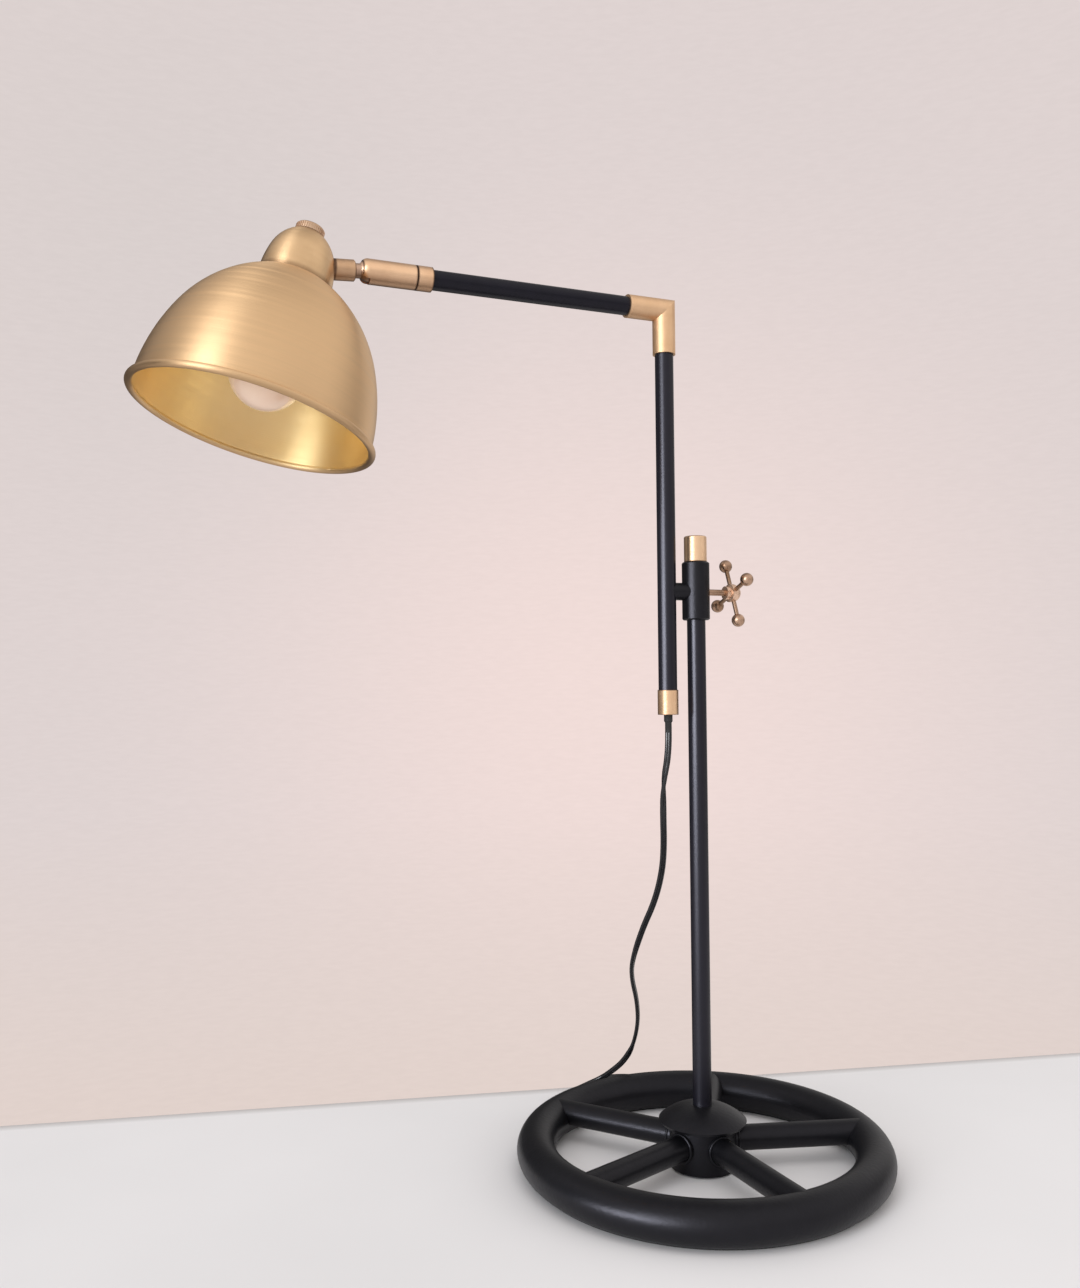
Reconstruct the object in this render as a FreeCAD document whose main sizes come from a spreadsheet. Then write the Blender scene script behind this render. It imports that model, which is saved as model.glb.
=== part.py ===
import FreeCAD, Part
import Sketcher
import math
import os
import re

# Pipe table lamp: a spoked cast ring base, a post, a clamped collar that slides and swings on it,
# a riser and an arm of the same tube, a swivel with a ball joint, and a spun shade with its bulb.
# Frame: origin on the table at the middle of the base, +Z up, the arm points to -X at rest.

doc = FreeCAD.newDocument("pipe_table_lamp")
sheet = doc.addObject("Spreadsheet::Sheet", "sizes")

# Driving sizes, in millimetres and degrees
SIZES = {
    # base casting
    "ring_radius": 112.0,
    "ring_tube": 13.0,
    "pad_height": 1.2,
    "pad_width": 9.0,
    "hub_radius": 22.3,
    "hub_top": 29.8,
    "hub_pad_radius": 19.5,
    "recess_radius": 13.5,
    "recess_height": 14.0,
    "spoke_radius": 8.25,
    "spoke_drop": 0.15,
    "spoke_angle": 56.2,
    "spoke_seat": 5.5,
    "lip_radius": 1.0,
    "lip_reach": 1.6,
    "hub_cap_radius": 29.3,
    "hub_cap_edge": 1.6,
    "hub_cap_top": 41.0,
    "hub_cap_arc": 38.0,
    "hub_cap_flat": 1.5,
    # post and its fixings
    "post_radius": 6.3,
    "post_wall": 1.5,
    "post_seat": 7.5,
    "stud_radius": 4.0,
    "insert_length": 26.0,
    "nut_flats": 13.0,
    "nut_height": 6.5,
    "washer_radius": 8.5,
    "washer_height": 1.6,
    "stud_tip": 3.4,
    "stop_height": 407.2,
    "cap_radius": 7.75,
    "cap_length": 17.6,
    "cap_seat": 11.0,
    "cap_round": 1.2,
    # collar, its liner and the clamp
    "collar_radius": 9.4,
    "collar_length": 39.6,
    "collar_edge": 0.8,
    "stop_gap": 0.3,
    "liner_wall": 0.75,
    "running_gap": 0.05,
    "screw_drop": 20.7,
    "screw_radius": 2.15,
    "pad_tip_radius": 2.0,
    "pad_tip_length": 1.1,
    "pad_gap": 0.35,
    "wheel_reach": 28.6,
    "wheel_hub_radius": 6.3,
    "wheel_hub_back": 5.8,
    "wheel_hub_front": 6.0,
    "wheel_hub_step": 0.6,
    "wheel_boss_radius": 4.6,
    "wheel_rod_radius": 1.5,
    "wheel_ball_radius": 4.5,
    "wheel_radius": 20.8,
    "wheel_turn": 68.2,
    "rod_seat": 2.0,
    # riser, elbow and arm
    "riser_offset": 22.5,
    "tube_radius": 6.3,
    "tube_wall": 1.3,
    "stub_radius": 6.0,
    "ferrule_bottom": 303.0,
    "ferrule_top": 319.6,
    "ferrule_radius": 7.0,
    "ferrule_floor": 4.5,
    "grip_radius": 2.9,
    "grip_length": 5.4,
    "grip_taper": 6.6,
    "grip_neck": 2.25,
    "grip_round": 1.0,
    "grip_flange": 4.6,
    "grip_flange_height": 1.2,
    "arm_height": 579.0,
    "elbow_radius": 7.75,
    "elbow_drop": 30.5,
    "elbow_reach": 28.2,
    "elbow_seat": 14.0,
    "arm_reach": 176.0,
    "arm_collar_length": 10.5,
    "arm_collar_floor": 3.5,
    "flex_radius": 2.1,
    "flex_bend": 9.0,
    # swivel and ball joint
    "swivel_radius": 7.75,
    "swivel_length": 34.0,
    "swivel_round": 4.0,
    "swivel_gap": 0.5,
    "mouth_flat": 0.5,
    "mouth_arc": 4.6,
    "swivel_floor": 4.0,
    "slot_spare": 0.3,
    "slot_start": 0.9,
    "seat_drop": 2.0,
    "spindle_radius": 3.5,
    "spindle_bore": 2.3,
    "spindle_head_radius": 5.8,
    "spindle_head_height": 2.0,
    "spring_washer": 0.6,
    "ball_reach": 30.3,
    "ball_radius": 6.6,
    "seat_height": 7.5,
    "tension_height": 6.0,
    "neck_radius": 4.5,
    "neck_end": 8.2,
    "shank_radius": 3.4,
    "shank_bore": 1.8,
    "swivel_roll": -2.4,
    # head
    "coupler_radius": 6.5,
    "coupler_edge": 0.6,
    "coupler_drop": 4.1,
    "coupler_reach": 42.0,
    "coupler_inside": 5.0,
    "shank_inside": 9.5,
    "shank_past_nut": 0.5,
    "head_tilt": 16.0,
    "cup_entry": 10.0,
    "cup_nut_flats": 10.0,
    "cup_nut_height": 3.0,
    "shade_radius": 70.8,
    "shade_wall": 0.8,
    "shade_height": 91.0,
    "shade_arc": 125.0,
    "shade_join": 50.0,
    "shade_top_radius": 22.4,
    "bead_radius": 2.2,
    "bead_out": 1.0,
    "cup_radius": 22.2,
    "cup_wall": 1.0,
    "cup_height": 32.0,
    "cup_arc": 62.0,
    "cup_join": 18.0,
    "cup_top_radius": 8.9,
    "holder_radius": 13.5,
    "holder_gap": 0.3,
    "holder_drop": 34.0,
    "holder_mouth_radius": 10.4,
    "holder_mouth": 4.0,
    "holder_flange": 4.0,
    "holder_flange_height": 2.0,
    "holder_top": 4.0,
    "shade_ring_height": 4.0,
    "thread_shell": 0.6,
    "bulb_radius": 22.5,
    "bulb_neck_length": 29.0,
    "bulb_neck_bend": 2.5,
    "bulb_wall": 0.8,
    "bulb_neck_angle": 50.0,
    "bulb_cap_radius": 7.0,
    "bulb_cap_gap": 0.1,
    "bulb_cap_length": 23.0,
    "bulb_cap_inset": 3.0,
    "bulb_tip": 3.0,
    "contact_height": 1.6,
    "nipple_radius": 5.0,
    "nipple_wall": 1.5,
    "nipple_length": 9.0,
    "switch_radius": 10.0,
    "switch_body_height": 13.0,
    "switch_shoulder_radius": 7.4,
    "switch_neck_radius": 4.8,
    "switch_neck": 2.2,
    "switch_floor": 4.0,
    "switch_nut_radius": 6.2,
    "switch_gap": 0.2,
    "nut_gap": 0.5,
    "switch_nut_height": 1.5,
    "switch_shaft_radius": 2.4,
    "knob_radius": 8.7,
    "knob_height": 4.6,
    "knob_gap": 0.3,
    "knob_round": 1.2,
    # flex outside the lamp
    "cord_thick": 3.0,
    "hank_angle": 76.0,
    "hank_out": 146.5,
    "hank_run": 25.0,
    "hank_inner": 8.75,
    "hank_pitch": 3.85,
    "hank_waist": 5.5,
    "hank_layer": 4.6,
    "hank_tail": 21.0,
    "cord_exit_run": 14.0,
    "cord_entry_run": 15.0,
    "tie_width": 4.0,
    "tie_wall": 0.8,
    "plug_width": 20.0,
    "plug_length": 26.0,
    "plug_round": 3.0,
    "pin_spacing": 12.7,
    "pin_width": 6.3,
    "pin_thick": 1.5,
    "pin_length": 16.0,
    "pin_seat": 4.0,
}

for row, (alias, number) in enumerate(SIZES.items(), start=1):
    sheet.set("A%d" % row, alias)
    sheet.set("B%d" % row, str(number))
    sheet.setAlias("B%d" % row, alias)
doc.recompute()

SPOKES = 5
WHEEL_SPOKES = 4
HANK_TURNS = 3

nodes = {}


def bind(text):
    """An expression in which every size name points at the sheet."""
    return re.sub(r"[a-z_]+[a-z_0-9]*",
                  lambda found: "sizes." + found.group(0) if found.group(0) in SIZES else found.group(0),
                  text)


def value(text):
    return float(sheet.evalExpression(bind(text)))


def size(alias):
    return float(sheet.get(alias))


def vector(x, y, z):
    return "create(<<vector>>; %s; %s; %s)" % (x, y, z)


def place(x="0", y="0", z="0", axis=("0", "1", "0"), angle="0"):
    turn = "create(<<rotation>>; %s; %s)" % (vector(*axis), angle)
    return "create(<<placement>>; %s; %s)" % (vector(x, y, z), turn)


X_AXIS = ("1", "0", "0")
Y_AXIS = ("0", "1", "0")
Z_AXIS = ("0", "0", "1")


def frame(name, *placements):
    """A named coordinate system whose place is a product of placements."""
    system = doc.addObject("Part::LocalCoordinateSystem", name)
    system.setExpression("Placement", bind(" * ".join(placements)))
    doc.recompute()
    return name + ".Placement"


def on(obj, placement):
    obj.setExpression("Placement", bind(placement))


def origin_plane(body, role):
    return [f for f in body.Origin.OriginFeatures if f.Role == role][0]


def arc_centre(start, end, radius, turn):
    """Centre of the short arc from start to end; turn is 1 anticlockwise and -1 clockwise."""
    chord = end - start
    half = chord.Length / 2
    side = FreeCAD.Vector(-chord.y, chord.x, 0).normalize()
    return (start + end) / 2 + side * (turn * math.sqrt(max(radius * radius - half * half, 0.0)))


def outline_sketch(body, name, outline, role="XZ_Plane"):
    """A closed sketch through the outline's points, each tied to the sheet.

    A point is (across, up) or (across, up, radius, turn) when an arc leads to it.
    """
    sketch = body.newObject("Sketcher::SketchObject", name)
    sketch.AttachmentSupport = [(origin_plane(body, role), "")]
    sketch.MapMode = "FlatFace"
    corners = [FreeCAD.Vector(value(point[0]), value(point[1]), 0) for point in outline]
    starts = []
    for index, point in enumerate(outline):
        start = corners[index - 1]
        end = corners[index]
        if len(point) == 2:
            sketch.addGeometry(Part.LineSegment(start, end))
            starts.append((1, 2))
            continue
        radius = value(point[2])
        centre = arc_centre(start, end, radius, point[3])
        first, last = (start, end) if point[3] > 0 else (end, start)
        first_angle = math.atan2(first.y - centre.y, first.x - centre.x)
        last_angle = math.atan2(last.y - centre.y, last.x - centre.x)
        circle = Part.Circle(centre, FreeCAD.Vector(0, 0, 1), radius)
        sketch.addGeometry(Part.ArcOfCircle(circle, first_angle, last_angle))
        starts.append((1, 2) if point[3] > 0 else (2, 1))
    for index, point in enumerate(outline):
        following = (index + 1) % len(outline)
        end_id = starts[index][1]
        sketch.addConstraint(
            Sketcher.Constraint("Coincident", index, end_id, following, starts[following][0]))
        across = sketch.addConstraint(
            Sketcher.Constraint("DistanceX", -1, 1, index, end_id, corners[index].x))
        sketch.setExpression("Constraints[%d]" % across, bind(point[0]))
        up = sketch.addConstraint(
            Sketcher.Constraint("DistanceY", -1, 1, index, end_id, corners[index].y))
        sketch.setExpression("Constraints[%d]" % up, bind(point[1]))
        if len(point) > 2:
            radius_id = sketch.addConstraint(Sketcher.Constraint("Radius", index, value(point[2])))
            sketch.setExpression("Constraints[%d]" % radius_id, bind(point[2]))
    return sketch


def turned(name, outline, placement=None, keep=True):
    """A piece turned about its own Z from an outline of (radius, height) points."""
    body = doc.addObject("PartDesign::Body", name)
    sketch = outline_sketch(body, name + "_outline", outline)
    revolution = body.newObject("PartDesign::Revolution", name + "_turn")
    revolution.Profile = sketch
    revolution.ReferenceAxis = (sketch, ["V_Axis"])
    revolution.Angle = 360
    if placement:
        on(body, placement)
    if keep:
        nodes[name] = body
    return body


def ring_outline(inner, outer, low, high):
    return [(inner, low), (outer, low), (outer, high), (inner, high)]


def rod(name, radius, length, placement):
    cylinder = doc.addObject("Part::Cylinder", name)
    cylinder.setExpression("Radius", bind(radius))
    cylinder.setExpression("Height", bind(length))
    on(cylinder, placement)
    return cylinder


def box(name, length, width, height, placement):
    block = doc.addObject("Part::Box", name)
    block.setExpression("Length", bind(length))
    block.setExpression("Width", bind(width))
    block.setExpression("Height", bind(height))
    on(block, placement)
    return block


def ball(name, radius, placement):
    sphere = doc.addObject("Part::Sphere", name)
    sphere.setExpression("Radius", bind(radius))
    on(sphere, placement)
    return sphere


def cut(name, base, *tools, keep=True):
    tool = tools[0] if len(tools) == 1 else fuse(name + "_tools", *tools, keep=False)
    result = doc.addObject("Part::Cut", name)
    result.Base = base
    result.Tool = tool
    if keep:
        nodes[name] = result
    return result


def fuse(name, *shapes, keep=True):
    result = doc.addObject("Part::MultiFuse", name)
    result.Shapes = list(shapes)
    if keep:
        nodes[name] = result
    return result


def group(name, *shapes):
    """Identical loose pieces kept under one name."""
    result = doc.addObject("Part::Compound", name)
    result.Links = list(shapes)
    nodes[name] = result
    return result


# Base ring: cast iron, planed flat underneath for a felt ring
ring_form = doc.addObject("Part::Torus", "ring_form")
ring_form.setExpression("Radius1", bind("ring_radius"))
ring_form.setExpression("Radius2", bind("ring_tube"))
on(ring_form, place(z="ring_tube"))
ring_planing = rod("ring_planing", "ring_radius + 2 * ring_tube", "pad_height", place())
cut("base_ring", ring_form, ring_planing)
turned("ring_felt", ring_outline("ring_radius - pad_width / 2", "ring_radius + pad_width / 2",
                                 "0", "pad_height"))

# Spokes: round bars from the hub's sockets to the ring, level with its top
SPOKE_HEIGHT = "(2 * ring_tube - spoke_radius - spoke_drop)"
SOCKET_FLOOR = "(hub_radius - spoke_seat)"
sockets = []
lips = []
for number in range(1, SPOKES + 1):
    angle = "(spoke_angle + %d * 360 / %d)" % (number - 1, SPOKES)
    line = frame("spoke_line_%d" % number,
                 place(z=SPOKE_HEIGHT, axis=Z_AXIS, angle=angle), place(angle="90"))
    start = line + " * " + place(z=SOCKET_FLOOR)
    bar = rod("spoke_bar_%d" % number, "spoke_radius", "ring_radius - " + SOCKET_FLOOR, start)
    cut("base_spoke_%d" % number, bar, ring_form)
    sockets.append(rod("spoke_socket_%d" % number, "spoke_radius", "hub_radius", start))
    lip = doc.addObject("Part::Torus", "socket_lip_%d" % number)
    lip.setExpression("Radius1", bind("spoke_radius + lip_radius / 2"))
    lip.setExpression("Radius2", bind("lip_radius"))
    on(lip, line + " * " + place(z="hub_radius + lip_radius / 2"))
    lips.append(lip)
    boss = rod("socket_boss_%d" % number, "spoke_radius + lip_radius", "hub_radius / 2 + lip_radius / 2",
               line + " * " + place(z="hub_radius / 2"))
    lips.append(boss)

# Hub: a short casting with the sockets, a seat for the post and a recess for its nut
hub_block = rod("hub_block", "hub_radius", "hub_top - pad_height", place(z="pad_height"))
hub_form = fuse("hub_form", hub_block, *lips, keep=False)
hub_recess = rod("hub_recess", "recess_radius", "recess_height", place())
hub_stud_hole = rod("hub_stud_hole", "stud_radius + running_gap", "hub_top", place())
hub_post_seat = rod("hub_post_seat", "post_radius", "post_seat + 1", place(z="hub_top - post_seat"))
cut("base_hub", hub_form, hub_recess, hub_stud_hole, hub_post_seat, *sockets)
turned("hub_felt", ring_outline("0", "hub_pad_radius", "0", "pad_height"))
turned("hub_cap", [
    ("post_radius", "hub_top"),
    ("hub_cap_radius - hub_cap_edge / 2", "hub_top"),
    ("hub_cap_radius", "hub_top + hub_cap_edge"),
    ("post_radius + hub_cap_flat", "hub_cap_top", "hub_cap_arc", 1),
    ("post_radius", "hub_cap_top"),
])

# Post: a steel tube on a stud, held by a nut in the hub's recess, with a brass cap as its stop
POST_BOTTOM = "(hub_top - post_seat)"
POST_TOP = "(stop_height + cap_seat)"
turned("post", ring_outline("post_radius - post_wall", "post_radius", POST_BOTTOM, POST_TOP))
turned("post_insert", ring_outline("stud_radius", "post_radius - post_wall", POST_BOTTOM,
                                   POST_BOTTOM + " + insert_length"))
turned("post_stud", ring_outline("0", "stud_radius", "stud_tip", POST_BOTTOM + " + insert_length - 2"))
turned("post_washer", ring_outline("stud_radius", "washer_radius", "recess_height - washer_height",
                                   "recess_height"))
NUT_BOTTOM = "recess_height - washer_height - nut_height"
post_nut_blank = doc.addObject("Part::Prism", "post_nut_blank")
post_nut_blank.Polygon = 6
post_nut_blank.setExpression("Circumradius", bind("nut_flats / 2 / cos(30)"))
post_nut_blank.setExpression("Height", bind("nut_height"))
on(post_nut_blank, place(z=NUT_BOTTOM))
cut("post_nut", post_nut_blank, rod("post_nut_hole", "stud_radius", "nut_height", place(z=NUT_BOTTOM)))
turned("post_cap", [
    ("post_radius", "stop_height"),
    ("cap_radius", "stop_height"),
    ("cap_radius", "stop_height + cap_length - cap_round"),
    ("cap_radius - cap_round", "stop_height + cap_length", "cap_round", 1),
    ("0", "stop_height + cap_length"),
    ("0", POST_TOP),
    ("post_radius", POST_TOP),
])

# Liner: a split sleeve that slides on the post, so that the clamp never marks the tube
COLLAR_TOP = "(stop_height - stop_gap)"
COLLAR_BOTTOM = "(stop_height - stop_gap - collar_length)"
LINER_RADIUS = "(post_radius + running_gap + liner_wall)"
turned("slide_liner", ring_outline("post_radius + running_gap", LINER_RADIUS, COLLAR_BOTTOM, COLLAR_TOP))

# Collar: turns about the liner, carries the stub on one side and the clamp screw on the other
COLLAR_BORE = "(post_radius + liner_wall + 2 * running_gap)"
SCREW_HEIGHT = "(stop_height - screw_drop)"
screw_line = frame("screw_line", place(z=SCREW_HEIGHT, angle="90"))
stub_line = frame("stub_line", place(z=SCREW_HEIGHT, angle="-90"))
collar_form = turned("collar_form", [
    (COLLAR_BORE, COLLAR_BOTTOM),
    ("collar_radius - collar_edge", COLLAR_BOTTOM),
    ("collar_radius", COLLAR_BOTTOM + " + collar_edge"),
    ("collar_radius", COLLAR_TOP + " - collar_edge"),
    ("collar_radius - collar_edge", COLLAR_TOP),
    (COLLAR_BORE, COLLAR_TOP),
], keep=False)
screw_hole = rod("screw_hole", "screw_radius + running_gap", "2 * collar_radius", screw_line)
cut("collar", collar_form, screw_hole)
stub_bar = rod("stub_bar", "stub_radius", "riser_offset - collar_radius / 2",
               stub_line + " * " + place(z="collar_radius / 2"))
collar_outside = rod("collar_outside", "collar_radius", "collar_length", place(z=COLLAR_BOTTOM))
riser_outside = rod("riser_outside", "tube_radius", "collar_length",
                    place(x="-riser_offset", z=COLLAR_BOTTOM))
cut("collar_stub", stub_bar, collar_outside, riser_outside)

# Clamp: a pad that the screw pushes against the liner, and the screw with its four-ball wheel
PAD_FACE = "(" + LINER_RADIUS + " + pad_gap)"
PAD_BACK = "(" + PAD_FACE + " + pad_tip_length)"
turned("clamp_pad", ring_outline("0", "pad_tip_radius", PAD_FACE, PAD_BACK), screw_line)
turned("clamp_screw", ring_outline("0", "screw_radius", PAD_BACK + " + running_gap",
                                   "wheel_reach"), screw_line)
wheel_line = frame("wheel_line", screw_line, place(z="wheel_reach", axis=Z_AXIS, angle="0"))
wheel_form = turned("wheel_form", [
    ("screw_radius", "-wheel_hub_back"),
    ("wheel_boss_radius", "-wheel_hub_back"),
    ("wheel_boss_radius", "-wheel_hub_back / 2"),
    ("wheel_hub_radius", "-wheel_hub_back / 2 + wheel_hub_step"),
    ("wheel_hub_radius", "0"),
    ("0", "wheel_hub_front", "(wheel_hub_radius ^ 2 + wheel_hub_front ^ 2) / 2 / wheel_hub_front", 1),
    ("0", "0"),
    ("screw_radius", "0"),
], wheel_line, keep=False)
rods = []
balls = []
for number in range(WHEEL_SPOKES):
    angle = "(90 - wheel_turn - %d * 360 / %d)" % (number, WHEEL_SPOKES)
    line = frame("rod_line_%d" % (number + 1), wheel_line,
                 place(axis=Z_AXIS, angle="90 - " + angle), place(angle="90"))
    rods.append(rod("wheel_rod_%d" % (number + 1), "wheel_rod_radius",
                    "wheel_radius - wheel_ball_radius + rod_seat - wheel_hub_radius + rod_seat",
                    line + " * " + place(z="wheel_hub_radius - rod_seat")))
    sphere = ball("wheel_ball_%d_form" % (number + 1), "wheel_ball_radius",
                  line + " * " + place(z="wheel_radius"))
    balls.append(cut("wheel_ball_%d" % (number + 1), sphere, rods[-1], keep=False))
cut("wheel_hub", wheel_form, *rods)
group("wheel_rods", *rods)
group("wheel_balls", *balls)

# Riser: a tube beside the post, closed below by a brass ferrule with the flex grip
riser_line = frame("riser_line", place(x="-riser_offset"))
FERRULE_INSIDE = "(ferrule_bottom + ferrule_floor)"
ELBOW_BOTTOM = "(arm_height - elbow_drop)"
turned("riser_tube", ring_outline("tube_radius - tube_wall", "tube_radius", FERRULE_INSIDE,
                                  ELBOW_BOTTOM + " + elbow_seat"), riser_line)
turned("riser_ferrule", [
    ("grip_radius", "ferrule_bottom"),
    ("ferrule_radius", "ferrule_bottom"),
    ("ferrule_radius", "ferrule_top"),
    ("tube_radius", "ferrule_top"),
    ("tube_radius", FERRULE_INSIDE),
    ("grip_radius", FERRULE_INSIDE),
], riser_line)
GRIP_BOTTOM = "(ferrule_bottom - grip_length - grip_taper)"
turned("flex_grip", [
    ("0", GRIP_BOTTOM),
    ("grip_neck", GRIP_BOTTOM),
    ("grip_neck", "ferrule_bottom - grip_length"),
    ("grip_radius", "ferrule_bottom - grip_length + grip_round"),
    ("grip_radius", FERRULE_INSIDE),
    ("grip_flange", FERRULE_INSIDE),
    ("grip_flange", FERRULE_INSIDE + " + grip_flange_height"),
    ("0", FERRULE_INSIDE + " + grip_flange_height"),
], riser_line)

# Elbow: a mitred brass corner with a socket for each tube
arm_line = frame("arm_line", place(x="-riser_offset", z="arm_height", angle="-90"))
elbow_up = frame("elbow_up", place(x="-riser_offset", z=ELBOW_BOTTOM))
mitre_line = frame("mitre_line", place(x="-riser_offset", z="arm_height"), place(angle="-45"))
MITRE = "(8 * elbow_radius)"
upper_half = box("upper_half", MITRE, MITRE, MITRE,
                 mitre_line + " * " + place("-4 * elbow_radius", "-4 * elbow_radius", "0"))
lower_half = box("lower_half", MITRE, MITRE, MITRE,
                 mitre_line + " * " + place("-4 * elbow_radius", "-4 * elbow_radius", "-8 * elbow_radius"))


def mitred(name, radius, up_length, along_length, keep=False):
    """A round corner: an upright leg and a level leg, each cut at the mitre plane."""
    upright = rod(name + "_upright", radius, up_length + " + 2 * elbow_radius",
                  riser_line + " * " + place(z="arm_height - " + up_length))
    level = rod(name + "_level", radius, along_length + " + 2 * elbow_radius",
                arm_line + " * " + place(z="-2 * elbow_radius"))
    upright_leg = cut(name + "_upright_leg", upright, upper_half, keep=False)
    level_leg = cut(name + "_level_leg", level, lower_half, keep=False)
    return fuse(name, upright_leg, level_leg, keep=keep)


elbow_form = mitred("elbow_form", "elbow_radius", "elbow_drop", "elbow_reach")
elbow_bore = mitred("elbow_bore", "tube_radius - tube_wall", "(elbow_drop + 1)", "(elbow_reach + 1)")
elbow_low_seat = rod("elbow_low_seat", "tube_radius", "elbow_seat + 1",
                     elbow_up + " * " + place(z="-1"))
elbow_far_seat = rod("elbow_far_seat", "tube_radius", "elbow_seat + 1",
                     arm_line + " * " + place(z="elbow_reach - elbow_seat"))
cut("elbow", elbow_form, elbow_bore, elbow_low_seat, elbow_far_seat)

# Arm: the tube from the elbow to a brass end collar that holds the swivel's hollow spindle
COLLAR_END = "(arm_reach - swivel_gap)"
TUBE_END = "(arm_reach - arm_collar_floor)"
turned("arm_tube", ring_outline("tube_radius - tube_wall", "tube_radius", "elbow_reach - elbow_seat",
                                TUBE_END), arm_line)
turned("arm_end_collar", [
    ("spindle_radius", COLLAR_END),
    ("spindle_radius", TUBE_END),
    ("tube_radius", TUBE_END),
    ("tube_radius", "arm_reach - arm_collar_length"),
    ("swivel_radius", "arm_reach - arm_collar_length"),
    ("swivel_radius", COLLAR_END),
], arm_line)
SPINDLE_HEAD = "(arm_reach + swivel_floor + spring_washer + running_gap)"
turned("swivel_spindle", [
    ("spindle_bore", TUBE_END),
    ("spindle_radius", TUBE_END),
    ("spindle_radius", SPINDLE_HEAD),
    ("spindle_head_radius", SPINDLE_HEAD),
    ("spindle_head_radius", SPINDLE_HEAD + " + spindle_head_height"),
    ("spindle_bore", SPINDLE_HEAD + " + spindle_head_height"),
], arm_line)

# Swivel: a brass housing that turns about the arm and holds the ball in a spring-loaded seat
swivel_axis = frame("swivel_axis", place(x="-riser_offset - arm_reach", z="arm_height",
                                         axis=X_AXIS, angle="swivel_roll"))
swivel_line = frame("swivel_line", swivel_axis, place(angle="-90"))
BALL_SPACE = "(ball_radius + 2 * running_gap)"
MOUTH = "sqrt(%s ^ 2 - (swivel_length - ball_reach) ^ 2)" % BALL_SPACE
swivel_form = turned("swivel_form", [
    ("spindle_radius + running_gap", "0"),
    ("swivel_radius", "0"),
    ("swivel_radius", "swivel_length - swivel_round"),
    ("(" + MOUTH + " + mouth_flat)", "swivel_length", "mouth_arc", 1),
    (MOUTH, "swivel_length"),
    (BALL_SPACE, "ball_reach", BALL_SPACE, -1),
    (BALL_SPACE, "swivel_floor"),
    ("spindle_radius + running_gap", "swivel_floor"),
], swivel_line, keep=False)
swivel_slot = box("swivel_slot", "2 * swivel_radius", "2 * neck_radius + 2 * slot_spare", "swivel_length",
                  swivel_line + " * " + place("-2 * swivel_radius", "-neck_radius - slot_spare",
                                              "ball_reach - slot_start"))
cut("swivel_housing", swivel_form, swivel_slot)
turned("spring_washer", ring_outline("spindle_radius + running_gap", "spindle_head_radius",
                                     "swivel_floor", "swivel_floor + spring_washer"), swivel_line)
SEAT_BALL = "(ball_radius + running_gap)"
SEAT_FRONT = "(ball_reach - seat_drop)"
SEAT_BACK = "(ball_reach - seat_drop - seat_height)"
SEAT_HOLE = "(shank_bore + 1)"
turned("ball_seat", [
    (SEAT_HOLE, SEAT_BACK),
    ("ball_radius", SEAT_BACK),
    ("ball_radius", SEAT_FRONT),
    ("sqrt(%s ^ 2 - seat_drop ^ 2)" % SEAT_BALL, SEAT_FRONT),
    (SEAT_HOLE, "ball_reach - sqrt(%s ^ 2 - %s ^ 2)" % (SEAT_BALL, SEAT_HOLE), SEAT_BALL, -1),
], swivel_line)
turned("tension_ring", ring_outline(SEAT_HOLE, "ball_radius", SEAT_BACK + " - tension_height",
                                    SEAT_BACK), swivel_line)

# Ball, neck and threaded shank in one turning, and the coupler that clamps it to the cup
ball_frame = frame("ball_frame", swivel_axis, place(x="-ball_reach"))
coupler_line = frame("coupler_line", ball_frame, place(angle="-90 - coupler_drop"))
head_frame = frame("head_frame", ball_frame,
                   place(x="-coupler_reach * cos(coupler_drop)", z="-coupler_reach * sin(coupler_drop)",
                         angle="head_tilt"),
                   place(z="-(shade_height + cup_entry)"))
CUP_BOTTOM = "shade_height"
CUP_TOP = "(shade_height + cup_height)"
COUPLER_END = "(coupler_reach - cup_radius + coupler_inside)"
SHANK_END = "(coupler_reach - cup_radius + shank_inside)"
turned("ball_shank", [
    ("shank_bore", "-sqrt(ball_radius ^ 2 - shank_bore ^ 2)"),
    ("neck_radius", "sqrt(ball_radius ^ 2 - neck_radius ^ 2)", "ball_radius", 1),
    ("neck_radius", "neck_end"),
    ("shank_radius", "neck_end"),
    ("shank_radius", SHANK_END),
    ("shank_bore", SHANK_END),
], coupler_line)
coupler_form = turned("coupler_form", [
    ("shank_radius", "neck_end"),
    ("coupler_radius - coupler_edge", "neck_end"),
    ("coupler_radius", "neck_end + coupler_edge"),
    ("coupler_radius", COUPLER_END),
    ("shank_radius", COUPLER_END),
], coupler_line, keep=False)


def two_arcs(base_radius, base, arc, join, top_radius, top):
    """Words for a bell's side: an arc upright at the base, then a tangent arc to the top point."""
    turn = "asin(%s / %s)" % (join, arc)
    join_radius = "(%s - %s * (1 - cos(%s)))" % (base_radius, arc, turn)
    across = "(%s - %s)" % (top_radius, join_radius)
    rise = "(%s - %s)" % (top, join)
    upper = "(-(%s ^ 2 + %s ^ 2) / 2 / (%s * cos(%s) + %s * sin(%s)))" % (
        across, rise, across, turn, rise, turn)
    return turn, join_radius, upper


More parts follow.
